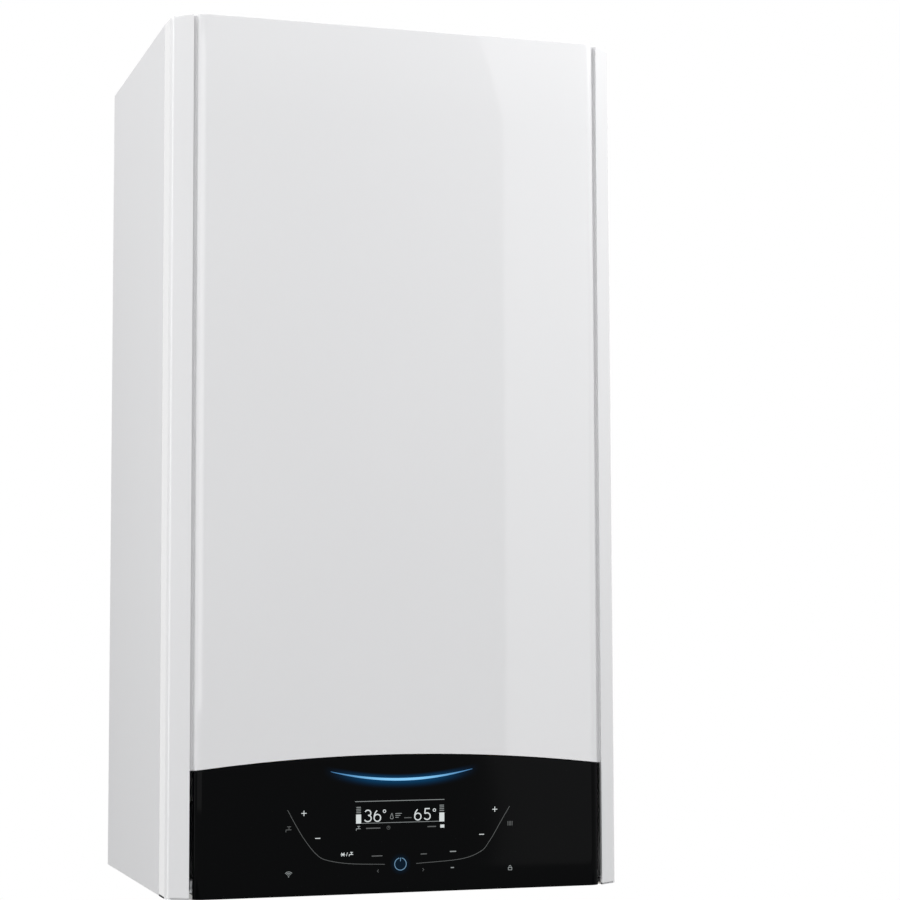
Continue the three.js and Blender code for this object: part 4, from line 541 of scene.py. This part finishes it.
groove_y = FRONT + GROOVE
right = np.vstack(
    [
        front_line(12),
        [[FIELD, groove_y], [PILLAR - HAIR, groove_y], [PILLAR, groove_y]],
        canted_face(18),
        [[HALF_WIDTH, JOINT - REAR_LIP], [HALF_WIDTH, JOINT]],
        [[HALF_WIDTH - SHEET, JOINT], [HALF_WIDTH - FOLD, JOINT]],
    ]
)
section = mirrored(right)
outside_x = np.abs(section[:, 0])
is_fold = (section[:, 1] > JOINT - HAIR) & (outside_x < HALF_WIDTH - HAIR)
is_field = outside_x < PILLAR - HAIR / 2
foot = np.where(is_field, arch(section[:, 0]), -HALF_HEIGHT)
foot = np.where(is_fold, SEAL_FOOT, foot)
print(len(section), "points in the cover's section")

# %% [markdown]
# The rounded upper edge moves each point inwards by r (1 - cos a) while it climbs
# by r sin a. The radius r depends on the column: it is crisp, and grows by
# exp(-d^2) near the outer corner, where d is the distance from the corner in
# spreads. Flat faces close the top, the ceiling under it and the roof's rear edge.

# %% The cover's skin
CRISP, CORNER_MORE = 1.2 * MM, 2.4 * MM
CORNER, SPREAD = (196 * MM, FRONT + 14 * MM), (7 * MM, 16 * MM)

from_corner = (np.column_stack([outside_x, section[:, 1]]) - CORNER) / SPREAD
top_radius = CRISP + CORNER_MORE * np.exp(-(from_corner**2).sum(1))
wall_top = HALF_HEIGHT - top_radius
straight = foot + np.linspace(0, 1, 9)[:, None] * (wall_top - foot)
outer = [np.column_stack([section, z]) for z in straight]
for a in np.linspace(0, math.pi / 2, 6)[1:]:
    rim = offset(section, top_radius * (1 - math.cos(a)))
    outer.append(np.column_stack([rim, wall_top + top_radius * math.sin(a)]))
inside = offset(section, SHEET)
inner = [np.column_stack([inside, foot + h * (ROOF - foot)]) for h in (1.0, 0.5, 0.0)]
shell = np.array(outer + inner)
rows, columns = shell.shape[:2]
walls = grid_faces(rows, columns)
cut = (len(outer) - 1) * (columns - 1)
walls = np.vstack([walls[:cut], walls[cut + columns - 1 :]])
last, first_inner = (len(outer) - 1) * columns, len(outer) * columns
lowest = np.arange(columns - 1)
lowest_inner = lowest + (rows - 1) * columns
underside = np.stack([lowest_inner, lowest_inner + 1, lowest + 1, lowest], 1)
top = [last + n for n in range(columns)]
ceiling = [first_inner + n for n in range(columns)][::-1]
rear = [last, first_inner, first_inner + columns - 1, last + columns - 1]
fold_ends = [
    [r * columns for r in range(rows)],
    [r * columns + columns - 1 for r in range(rows)][::-1],
]
cover_faces = walls.tolist() + underside.tolist() + [top, ceiling, rear] + fold_ends
print(len(cover_faces), "faces in the cover's skin")

# %% [markdown]
# Behind the upper edge hangs a fold with two round holes, by which the cover hooks
# on the casing's studs. A Boolean could cut them, but it leaves long thin faces. A
# hole in a plate is a grid too: its rows run from the circle out to a square, and
# plain rectangles fill the rest. At the foot of each pillar is a plate whose
# tongue has an open slot for the screw.

# %% The cover's upper fold and its feet
STUD_X, STUD_HOLE = 110 * MM, 2.9 * MM
SCREW_X, SCREW_Y, SLOT_HALF = 191 * MM, -266 * MM, 2.3 * MM
TONGUE_IN, TONGUE_OUT, TONGUE_BACK = 185.7 * MM, 198.2 * MM, JOINT + 18 * MM
FOOT_INSIDE = JOINT - 14.5 * MM


def slab(flat, low, high, axis):
    """A closed plate: an outline of n points at two levels, with n sides and two
    faces. The outline's two numbers are the axes other than `axis`, in order."""
    n = len(flat)
    order = [a for a in range(3) if a != axis]
    both = np.zeros((2, n, 3))
    both[:, :, order] = flat
    both[0, :, axis], both[1, :, axis] = low, high
    walls = grid_faces(2, n, wrap=True).tolist()
    return both, walls + [list(range(n))[::-1], list(range(n, 2 * n))]


def holed_square(x, z, half, radius, low, high, steps=32):
    """Circle to square: a point at angle a lies at half / max(|cos a|, |sin a|)."""
    a = np.arange(steps) * 2 * math.pi / steps + math.pi / 4
    ring = np.stack([np.cos(a), np.sin(a)], 1)
    hole, square = ring * radius, ring * (half / np.abs(ring).max(1))[:, None]
    levels = [(hole, low), (square, low), (square, high), (hole, high)]
    loops = [np.insert(flat + (x, z), 1, y, axis=1) for flat, y in levels]
    return np.array(loops), ring_faces(4, steps, wrap=True).tolist()


hang_low, hang_high = ROOF - FOLD, ROOF + 0.4 * SHEET
stud_z = (hang_low + ROOF) / 2
half_square = stud_z - hang_low
hang_y = (JOINT - SHEET, JOINT - HAIR)
near, far, edge = STUD_X - half_square, STUD_X + half_square, HALF_WIDTH - FOLD + HAIR
cover_parts = [(shell, cover_faces)]
for x0, x1 in ((-edge, -far), (-near, near), (far, edge)):
    plate = np.array([(x0, hang_low), (x1, hang_low), (x1, hang_high), (x0, hang_high)])
    cover_parts.append(slab(plate, *hang_y, axis=1))
for x in (-STUD_X, STUD_X):
    cover_parts.append(holed_square(x, stud_z, half_square, STUD_HOLE, *hang_y))

slot_in, slot_out, slot_end = SCREW_X - SLOT_HALF, SCREW_X + SLOT_HALF, SCREW_Y - SLOT_HALF
foot_right = np.vstack(
    [
        canted_face(12),
        [[HALF_WIDTH, JOINT], [TONGUE_OUT, JOINT], [TONGUE_OUT, TONGUE_BACK]],
        [[slot_out, TONGUE_BACK], [slot_out, slot_end]],
        [[slot_in, slot_end], [slot_in, TONGUE_BACK]],
        [[TONGUE_IN, TONGUE_BACK], [TONGUE_IN, JOINT - SHEET], [PILLAR, FOOT_INSIDE]],
    ]
)
for side in (-1, 1):
    foot_levels = (-HALF_HEIGHT, SHEET - HALF_HEIGHT)
    cover_parts.append(slab(foot_right * [side, 1], *foot_levels, axis=2))
cover_points, all_faces = joined(cover_parts)
piece("cover_skin", cover_points, all_faces, "white_enamel", "front_cover", ["front_cover"])
print(len(all_faces), "faces in the cover")

# %% [markdown]
# ## The black glass fascia
# The glass follows the cover's section, so its ends roll back into the grooves, and
# its upper edge keeps an even gap under the arch. A bevel could break its edges,
# but three rows of points give the lip its exact depth.

# %% The black glass fascia
GLASS, GLASS_GAP, LIP = 3 * MM, 0.8 * MM, 0.5 * MM
LIP_ROWS = ((LIP, 0.0), (0.15 * LIP, 0.3 * LIP), (0.0, LIP))

glass_line = mirrored(front_line(24))
glass_back = offset(glass_line, GLASS)
glass_top = arch(glass_line[:, 0]) - GLASS_GAP
glass_foot = np.full(len(glass_line), -HALF_HEIGHT)
lip_lines = [(offset(glass_line, inset), rise) for inset, rise in LIP_ROWS]
fascia = [np.column_stack([front, glass_foot + rise]) for front, rise in lip_lines]
fascia += [np.column_stack([front, glass_top - rise]) for front, rise in lip_lines[::-1]]
fascia += [np.column_stack([glass_back, z]) for z in (glass_top, glass_foot)]
points, faces = closed_bar(np.array(fascia))
piece("fascia_skin", points, faces, "black_glass", "control_panel", ["fascia_glass"])
print(len(faces), "faces in the fascia")

# %% [markdown]
# ## The lit line
# The lit line is a thin lens laid along the arc. At x its half thickness is
# 0.12 mm + 0.95 mm (1 - (x / half)^2)^0.8, so that it runs out to a fine point.

# %% The lit line
PROUD, SUNK = 0.12 * MM, 0.35 * MM
LINE_TIP, LINE_MORE = 0.12 * MM, 0.95 * MM


def strip_between(lower, upper):
    """A thin closed bar between two lines of (x, z) points on the glass."""
    front, back = FRONT - PROUD, FRONT + SUNK
    rings = [(lower, back), (lower, front), (upper, front), (upper, back)]
    return closed_bar(np.array([np.insert(flat, 1, y, axis=1) for flat, y in rings]))


x = np.linspace(-0.995, 0.995, 61) * GLOW_HALF
half_thick = LINE_TIP + LINE_MORE * (1 - (x / GLOW_HALF) ** 2) ** 0.8
low_line = np.stack([x, arc_height(x) - half_thick], 1)
high_line = np.stack([x, arc_height(x) + half_thick], 1)
points, faces = strip_between(low_line, high_line)
piece("lit_line", points, faces, "blue_light", "control_panel", ["light_guide"])
print("lit line, thickest", round(2 * half_thick.max() / MM, 2), "mm")

# %% [markdown]
# ## Marks on the glass
# Every sign on the glass is drawn with strokes, as a plotter would. A font could
# write the numbers, but then they would follow the font and not the display. A
# stroke is a ribbon: the path moved to both sides by half its width. Numbers are
# arcs and straight runs. Paths are in millimetres from the marks' origin.

# %% Strokes
MARKS_ORIGIN = np.array([MARKS_X, MARKS_Z])


def arc(x, z, rx, rz, start, stop, steps=20):
    """Part of an ellipse, angles in degrees, anticlockwise from +x."""
    a = np.radians(np.linspace(start, stop, steps))
    return np.stack([x + rx * np.cos(a), z + rz * np.sin(a)], 1)


def line(*points):
    """Straight runs through the points."""
    return np.array(points, float)


def pen(width, *paths):
    """Strokes of one width: each is a (width, path) pair."""
    return [(width, path) for path in paths]


def bar(x, z, width, height):
    """A filled rectangle: one stroke as wide as the bar is high."""
    return (height, line((x - width / 2, z), (x + width / 2, z)))


def moved(strokes, x, z, size=1.0):
    """The strokes at another place and size, their widths as they are."""
    return [(width, path * size + (x, z)) for width, path in strokes]


def ribbon(path, width):
    """One stroke as a bar on the glass."""
    low, high = offset(path, -width / 2), offset(path, width / 2)
    return strip_between(low * MM + MARKS_ORIGIN, high * MM + MARKS_ORIGIN)


def marks(name, strokes, finish):
    """One piece of many strokes."""
    points, faces = joined([ribbon(path, width) for width, path in strokes])
    piece(name, points, faces, finish, "control_panel", slot="display")
    print(name, "has", len(strokes), "strokes")


print("strokes ready")

# %% [markdown]
# The display shows two temperatures, each beside a gauge that is partly full, with
# small signs round them. They have three tones, and each tone is one piece. Real
# digits on such a display have strokes of one width, so arcs and straight runs
# with one pen are enough.

# %% The display
DIGIT_PEN = 0.95
LEFT_GAUGE, RIGHT_GAUGE, GAUGE_WIDTH = -36.7, 36.8, 4.4
three = pen(DIGIT_PEN, arc(2.7, 7.0, 2.5, 2.3, 155, -80), arc(2.6, 2.75, 2.9, 2.6, 85, -155))
six = pen(DIGIT_PEN, arc(3.0, 2.95, 2.75, 2.8, 0, 360, 30), arc(6.8, 3.4, 6.5, 6.9, 180, 128, 12))
five = pen(DIGIT_PEN, line((5.1, 9.3), (1.1, 9.3), (0.75, 5.2)))
five += pen(DIGIT_PEN, arc(2.7, 3.05, 2.75, 2.75, 128, -150))
degree = pen(0.6, arc(0, 0, 1.15, 1.15, 0, 360))
numbers = moved(three, -31.4, 59.1, 1.04) + moved(six, -23.4, 59.1, 1.04)
numbers += moved(six, 12.4, 59.3, 1.02) + moved(five, 20.9, 59.3, 1.02)
numbers += moved(degree, -14.0, 67.6) + moved(degree, 30.2, 67.4)
gauges = [bar(LEFT_GAUGE, 61.6, GAUGE_WIDTH, 7.6), bar(RIGHT_GAUGE, 61.4, GAUGE_WIDTH, 7.6)]
gauges += [bar(37.2, 53.7, 3.6, 2.6)]
marks("display_numbers", numbers + gauges, "bright_mark")

flame_tip = line((0.9, 3.1), (0.1, 5.0), (-0.8, 3.1), (-1.41, 0.99))
flame = np.vstack([arc(0, 1.5, 1.5, 1.5, 200, 340, 10), flame_tip])
tap_icon = pen(0.55, line((-1.9, -0.4), (1.9, -0.4)), line((0.3, -0.4), (0.3, 1.5)))
tap_icon += pen(0.55, line((-0.9, 1.6), (1.6, 1.6)), line((-1.7, -0.4), (-1.9, -1.9)))
clock_icon = pen(0.35, arc(0, 0, 1.4, 1.4, 0, 360, 16), line((0, 1.0), (0, 0), (0.8, 0)))
signs = pen(0.5, line((-39.8, 76.2), (39.1, 76.2)))
signs += pen(0.4, line((-34.5, 57.9), (34.5, 57.9)))
signs += moved(pen(0.4, flame), -7.6, 60.9, 0.95)
signs += [bar(-1.6, 65.4, 5.6, 0.5), bar(-2.2, 63.8, 4.4, 0.5), bar(-3.0, 62.2, 2.8, 0.5)]
signs += moved(tap_icon, -36.9, 53.9)
for gauge in (LEFT_GAUGE, RIGHT_GAUGE):
    signs += [bar(gauge, 66.9 + 1.5 * i, 3.9, 0.6) for i in range(4)]
marks("display_signs", signs, "middle_mark")

faint = [bar(-24.0, 53.6, 12.5, 0.9), bar(27.8, 53.6, 7.6, 0.9), bar(6.6, 61.6, 6.4, 0.7)]
faint += moved(clock_icon, -10.5, 53.7)
marks("display_faint_signs", faint, "dim_mark")

# %% [markdown]
# Two long curves sweep down from the plus keys and run in to the power key. They
# pass through measured points, joined smoothly: each stretch from p1 to p2 is
# Catmull-Rom's cubic, which takes its slopes from the neighbours p0 and p3.

# %% The sweeping curves
LEFT_CURVE = [(-98.2, 70.7), (-91.3, 58.2), (-83.2, 45.2), (-73.5, 33.4)]
LEFT_CURVE += [(-64.6, 28.2), (-44.3, 24.6), (-13.8, 23.1)]
RIGHT_CURVE = [(13.9, 22.9), (53.3, 25.4), (71.7, 31.4), (79.2, 39.4)]
RIGHT_CURVE += [(85.7, 49.3), (90.4, 57.1), (98.0, 69.1)]


def through(points, steps=8):
    """0.5 (2 p1 + (p2-p0) t + (2p0-5p1+4p2-p3) t^2 + (3p1-p0-3p2+p3) t^3)."""
    p = np.asarray(points, float)
    p = np.vstack([2 * p[0] - p[1], p, 2 * p[-1] - p[-2]])
    p0, p1, p2, p3 = (p[i : len(p) - 3 + i, None, :] for i in range(4))
    t = np.linspace(0, 1, steps, endpoint=False)[None, :, None]
    run = 2 * p1 + (p2 - p0) * t + (2 * p0 - 5 * p1 + 4 * p2 - p3) * t**2
    run = 0.5 * (run + (3 * p1 - p0 - 3 * p2 + p3) * t**3)
    return np.vstack([run.reshape(-1, 2), p[-2:-1]])


marks("key_curves", pen(0.42, through(LEFT_CURVE), through(RIGHT_CURVE)), "dim_mark")

# %% [markdown]
# The keys' signs stand along the curves. The plus and minus keys are bright, and
# most others recede. The power key is a ring that is open at the top for its short
# upright stroke. Each sign could be a picture, but strokes stay sharp.

# %% The touch keys
across = line((-2.2, 0), (2.2, 0))
cross = pen(0.6, across, line((0, 0.3), (0, 2.2)), line((0, -2.2), (0, -0.3)))
dash = pen(0.65, across)
plus_minus = moved(cross, -84.1, 67.6) + moved(cross, 84.5, 66.7)
plus_minus += moved(dash, -72.2, 46.5) + moved(dash, 72.5, 45.7)
sun = pen(0.6, line((-1.4, -1.4), (1.4, 1.4)), line((-1.4, 1.4), (1.4, -1.4)))
sun += pen(0.6, line((-1.8, 0), (1.8, 0)))
slash = pen(0.45, line((-47.4, 31.0), (-46.4, 34.0)))
pair = moved(sun, -50.4, 32.4) + slash + moved(tap_icon, -43.2, 32.6, 0.9)
marks("key_marks", plus_minus + pair, "bright_mark")

waves = pen(0.5, *(arc(0, -1.2, r, r, 40, 140, 10) for r in (1.4, 2.6, 3.8)))
waves += [bar(0, -1.5, 0.9, 0.8)]
lock = pen(0.5, line((-1.6, -1.6), (1.6, -1.6), (1.6, 0.4), (-1.6, 0.4), (-1.6, -1.35)))
lock += pen(0.45, arc(0, 0.5, 1.05, 1.7, 0, 180, 10))
soft = moved(waves, -97.2, 17.0) + moved(lock, 98.1, 16.3)
soft += [bar(46.7, 32.0, 5.6, 0.9), bar(46.1, 18.4, 2.8, 0.9)]
marks("key_icons", soft, "middle_mark")

radiator = pen(0.55, *(line((dx, -1.9), (dx, 1.9)) for dx in (-2.0, -0.7, 0.6, 1.9)))
quiet = moved(tap_icon, -97.3, 54.8, 1.25) + moved(radiator, 98.3, 54.4)
quiet += [bar(-20.6, 30.3, 9.4, 0.8), bar(20.6, 30.7, 5.4, 0.8)]
quiet += pen(0.4, line((-19.2, 18.9), (-20.4, 17.7), (-19.2, 16.5)))
quiet += pen(0.4, line((19.5, 18.7), (20.7, 17.5), (19.5, 16.3)))
marks("key_faint_marks", quiet, "dim_mark")

power = moved(pen(0.6, arc(0, 0, 5.1, 5.1, 102, 438, 48)), 0, POWER_KEY / MM)
power += pen(0.55, line((0, 25.2), (0, 28.2)))
marks("power_ring", power, "power_mark")

# %% [markdown]
# ## Pipes and hoses
# A pipe is a circle carried along a route. Blender's curves could carry it too,
# but this way its end faces are flat and its facets are chosen. The route is
# straight runs joined by bends, each bend a quadratic curve inside its corner. At
# each station the circle stands across the route, in a frame that turns as little
# as it can. Corners, bends and radii are in millimetres.


# %% Pipes and hoses
def route(corners, bend, steps=9):
    """Runs cut back by `bend` at each corner, and (1-t)^2 a + 2t(1-t) c + t^2 b."""
    c = np.array(corners, float)
    way = np.diff(c, axis=0)
    way /= np.linalg.norm(way, axis=1)[:, None]
    t = np.linspace(0, 1, steps)[:, None]
    stations = [c[:1]]
    for corner, before, after in zip(c[1:-1], way, way[1:]):
        a, b = corner - before * bend, corner + after * bend
        stations.append((1 - t) ** 2 * a + 2 * t * (1 - t) * corner + t**2 * b)
    return np.vstack(stations + [c[-1:]]) * MM


def pipe(path, radius, sides=28):
    """Circle p + r (cos a u + sin a v), with u kept square to the route's tangent.
    The radius r is one number, or one for each point of the path."""
    tangent = np.gradient(path, axis=0)
    tangent /= np.linalg.norm(tangent, axis=1)[:, None]
    u = np.cross(tangent[0], (0.3, 0.9, 0.2))
    frames = []
    for direction in tangent:
        u = u - direction * (u @ direction)
        u = u / np.linalg.norm(u)
        frames.append((u, np.cross(direction, u)))
    us, vs = (np.array(f)[:, None, :] for f in zip(*frames))
    a = (np.arange(sides) * 2 * math.pi / sides)[None, :, None]
    girth = np.broadcast_to(radius, len(path))[:, None, None]
    points = path[:, None, :] + girth * (np.cos(a) * us + np.sin(a) * vs)
    faces = grid_faces(len(path), sides, wrap=True).tolist()
    count = len(path) * sides
    return points, faces + [list(range(sides))[::-1], list(range(count - sides, count))]


ROUTES = {
    "gas_feed_pipe": (
        [[5, -172, -79.7], [5, -172, -52], [120, -156.7, -30], [120, -156.7, 250.7]],
        (16, 7, "copper"),
    ),
    "flow_pipe": (
        [[-60, -100, 0.7], [-60, -100, -61], [-134, -130, -103], [-134, -130, -261.7]],
        (22, 10, "copper"),
    ),
    "return_pipe": (
        [[134, -150, -135.7], [134, -150, -102], [60, -100, -60], [60, -100, 0.7]],
        (20, 10, "copper"),
    ),
    "vessel_pipe": (
        [[-100, -33.8, -68.3], [-100, -33.8, -198.3], [-100, -130, -238.3], [-100, -130, -280.7]],
        (16, 5, "stainless"),
    ),
    "ignition_lead": (
        [[-155.9, -200, 58], [-141.9, -200, 58], [-94, -245.3, 146]]
        + [[-52, -245.3, 126], [-52, -227.6, 126]],
        (8, 3.5, "rubber"),
    ),
}
for name, (corners, (bend, radius, finish)) in ROUTES.items():
    points, faces = pipe(route(corners, bend), radius * MM)
    piece(name + "_round", points, faces, finish, "chassis", [name])
    print(name, len(faces), "faces")

# %% [markdown]
# The condensate hose is ribbed so that it bends without kinking. Its ribs could be
# rings slid over a pipe, but they are part of its wall, so its radius waves along
# its length s: r = mean + wave cos(2 pi s / pitch). Its ends are plain cuffs.

# %% The ribbed hose
HOSE_CORNERS = [[-30, -165, 0.7], [-30, -165, -35], [-152, -205, -70], [-152, -205, -117.7]]
HOSE_BEND, CUFF, STATION = 22, 9 * MM, 0.7 * MM
RIB_MEAN, RIB_WAVE, RIB_PITCH = 8.4 * MM, 0.6 * MM, 4.2 * MM

bent = route(HOSE_CORNERS, HOSE_BEND)
run = np.concatenate([[0], np.cumsum(np.linalg.norm(np.diff(bent, axis=0), axis=1))])
fine = np.arange(0, run[-1], STATION)
hose_path = np.stack([np.interp(fine, run, bent[:, i]) for i in range(3)], 1)
ribs = RIB_MEAN + RIB_WAVE * np.cos(2 * math.pi * fine / RIB_PITCH)
ribs = np.where((fine < CUFF) | (fine > run[-1] - CUFF), CUFF, ribs)
piece("ribbed_hose", *pipe(hose_path, ribs, 24), "rubber", "chassis", ["condensate_hose"])
print("hose", round(run[-1] / MM), "mm long")

# %% [markdown]
# ## The other solids
# Each remaining solid comes in as loose flat triangles. A merged copy can be shaded
# smooth and have its sharp edges broken by a small bevel, as every real edge is.
# The copy then stands for the solid. The side and top panels take the satin
# enamel, under the same slot as the cover's. `EDGE_BREAKS` holds the widths of the
# wider bevels, in millimetres.

# %% The other solids
record = frame["record"]
slot_of = {part["node"]: part["material_slot"] for part in record["subparts"]}
SATIN_PANELS = ("left_side_panel", "right_side_panel", "top_panel")
finish_of = slot_of | dict.fromkeys(SATIN_PANELS, "satin_enamel")
USUAL_BREAK = 0.3
EDGE_BREAKS = {
    "left_side_panel": 0.6,
    "right_side_panel": 0.6,
    "top_panel": 0.5,
    "back_plate": 0.4,
    "bottom_tray": 0.4,
    "expansion_vessel": 0.9,
    "control_box": 0.6,
    "intake_silencer": 1.5,
    "pump_housing": 0.8,
    "fan_housing": 1.0,
    "gas_valve": 0.8,
    "fan_motor": 0.8,
    "pump_motor": 0.8,
}


def softened(node, body):
    """A merged copy of a solid with smooth shading and bevelled edges."""
    copy = node.copy()
    copy.data = node.data.copy()
    copy.name = node.name + "_finished"
    shape = bmesh.new()
    shape.from_mesh(copy.data)
    bmesh.ops.remove_doubles(shape, verts=shape.verts, dist=0.002 * MM)
    nearly_flat = math.radians(0.5)
    bmesh.ops.dissolve_limit(shape, angle_limit=nearly_flat, verts=shape.verts, edges=shape.edges)
    shape.to_mesh(copy.data)
    shape.free()
    copy.data.shade_smooth()
    copy.data.set_sharp_from_angle(angle=SHARP)
    bpy.context.scene.collection.objects.link(copy)
    bevel = copy.modifiers.new("broken edges", "BEVEL")
    bevel.width = EDGE_BREAKS.get(node.name, USUAL_BREAK) * MM
    bevel.segments = 2
    bevel.limit_method = "ANGLE"
    bevel.angle_limit = math.radians(50)
    copy.data.materials.clear()
    copy.data.materials.append(finishes[finish_of[node.name]].material)
    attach(copy, body)
    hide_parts(node.name)


body_of = {n: b for b, members in record["behaviour"]["bodies"].items() for n in members}
for name, node in sorted(frame["nodes"].items()):
    node.data.materials.clear()
    node.data.materials.append(finishes[finish_of[name]].material)
    if not node.hide_render:
        softened(node, body_of[name])

# %% [markdown]
# ## Floor and background
# The picture has a white background with no floor in sight, so the pale floor is
# far below, where a wall-hung boiler has it. A white wall behind the boiler would
# light it too, so the background is the world: plain grey light for the surfaces,
# but white to the camera, to reflections and through glass.

# %% Floor and background
FLOOR_DROP, FLOOR_HALF = 0.9, 3.0
floor_z = first_bounds[0][2] - FLOOR_DROP
corner_signs = ((-1, -1), (1, -1), (1, 1), (-1, 1))
floor_points = [(a * FLOOR_HALF, b * FLOOR_HALF, floor_z) for a, b in corner_signs]
floor_mesh = bpy.data.meshes.new("floor")
floor_mesh.from_pydata(floor_points, [], [(0, 1, 2, 3)])
floor = bpy.data.objects.new("floor", floor_mesh)
bpy.context.scene.collection.objects.link(floor)
floor_mesh.materials.append(Finish("pale_floor", (0.82, 0.82, 0.82), 0.7).material)

world = bpy.data.worlds.new("studio")
bpy.context.scene.world = world
sky = Nodes(world)
sky.tree.nodes.clear()
seen = sky.node("LightPath", out="Is Camera Ray")
for ray in ("Is Glossy Ray", "Is Transmission Ray"):
    seen = seen.math("MAXIMUM", sky.node("LightPath", out=ray))
lighting = sky.node("Background", inputs={"Color": (0.97, 0.98, 1.0, 1), "Strength": 0.22})
backdrop = sky.node("Background", inputs={"Color": (1, 1, 1, 1), "Strength": 1.0})
blend = sky.node("MixShader", inputs={0: seen, 1: lighting, 2: backdrop})
sky.node("OutputWorld", inputs={"Surface": blend})
print("floor at", round(floor_z, 2), "m")

# %% [markdown]
# ## Lamps
# White sheet steel shows its shape only by soft light that changes over it. Two
# large lamps, above and at the front left, let the front fall off towards its
# foot. A small one high on the left does so for the side panel, and a tall strip
# draws the bright line down the left corner. One at the right and one behind keep
# those sides from going dark. A tall panel at the front right is what the clear
# coat mirrors in its right-hand quarter.


# %% Lamps
def lamp(name, place, aim, size, watts, tall=None):
    """An area lamp at a place, turned to face a point, in metres and watts."""
    data = bpy.data.lights.new(name, "AREA")
    data.shape = "RECTANGLE"
    data.size, data.size_y, data.energy = size, tall or size, watts
    made = bpy.data.objects.new(name, data)
    made.location = place
    way = Vector(aim) - Vector(place)
    made.rotation_euler = way.to_track_quat("-Z", "Y").to_euler()
    bpy.context.scene.collection.objects.link(made)


lamp("soft_above", (-0.9, -1.5, 2.0), (0, -0.16, 0.1), 1.3, 15.5)
lamp("soft_left", (-1.1, -2.0, 0.4), (0, -0.3, 0), 1.4, 12)
lamp("side_left", (-1.05, 0.25, 1.25), (-0.2, -0.1, 0.2), 0.5, 4)
lamp("strip_left", (-1.5, -0.35, 0.6), (-0.2, -0.3, 0.6), 0.3, 8, tall=2.4)
lamp("soft_right", (1.15, -0.75, 1.05), (0.2, -0.3, 0), 0.5, 15.5)
lamp("soft_back", (0.9, 2.1, 1.3), (0, 0, 0), 1.5, 14)
lamp("panel_right", (1.717, -3.319, 0.5), (1.717, 0, 0.5), 1.2, 15, tall=3.2)
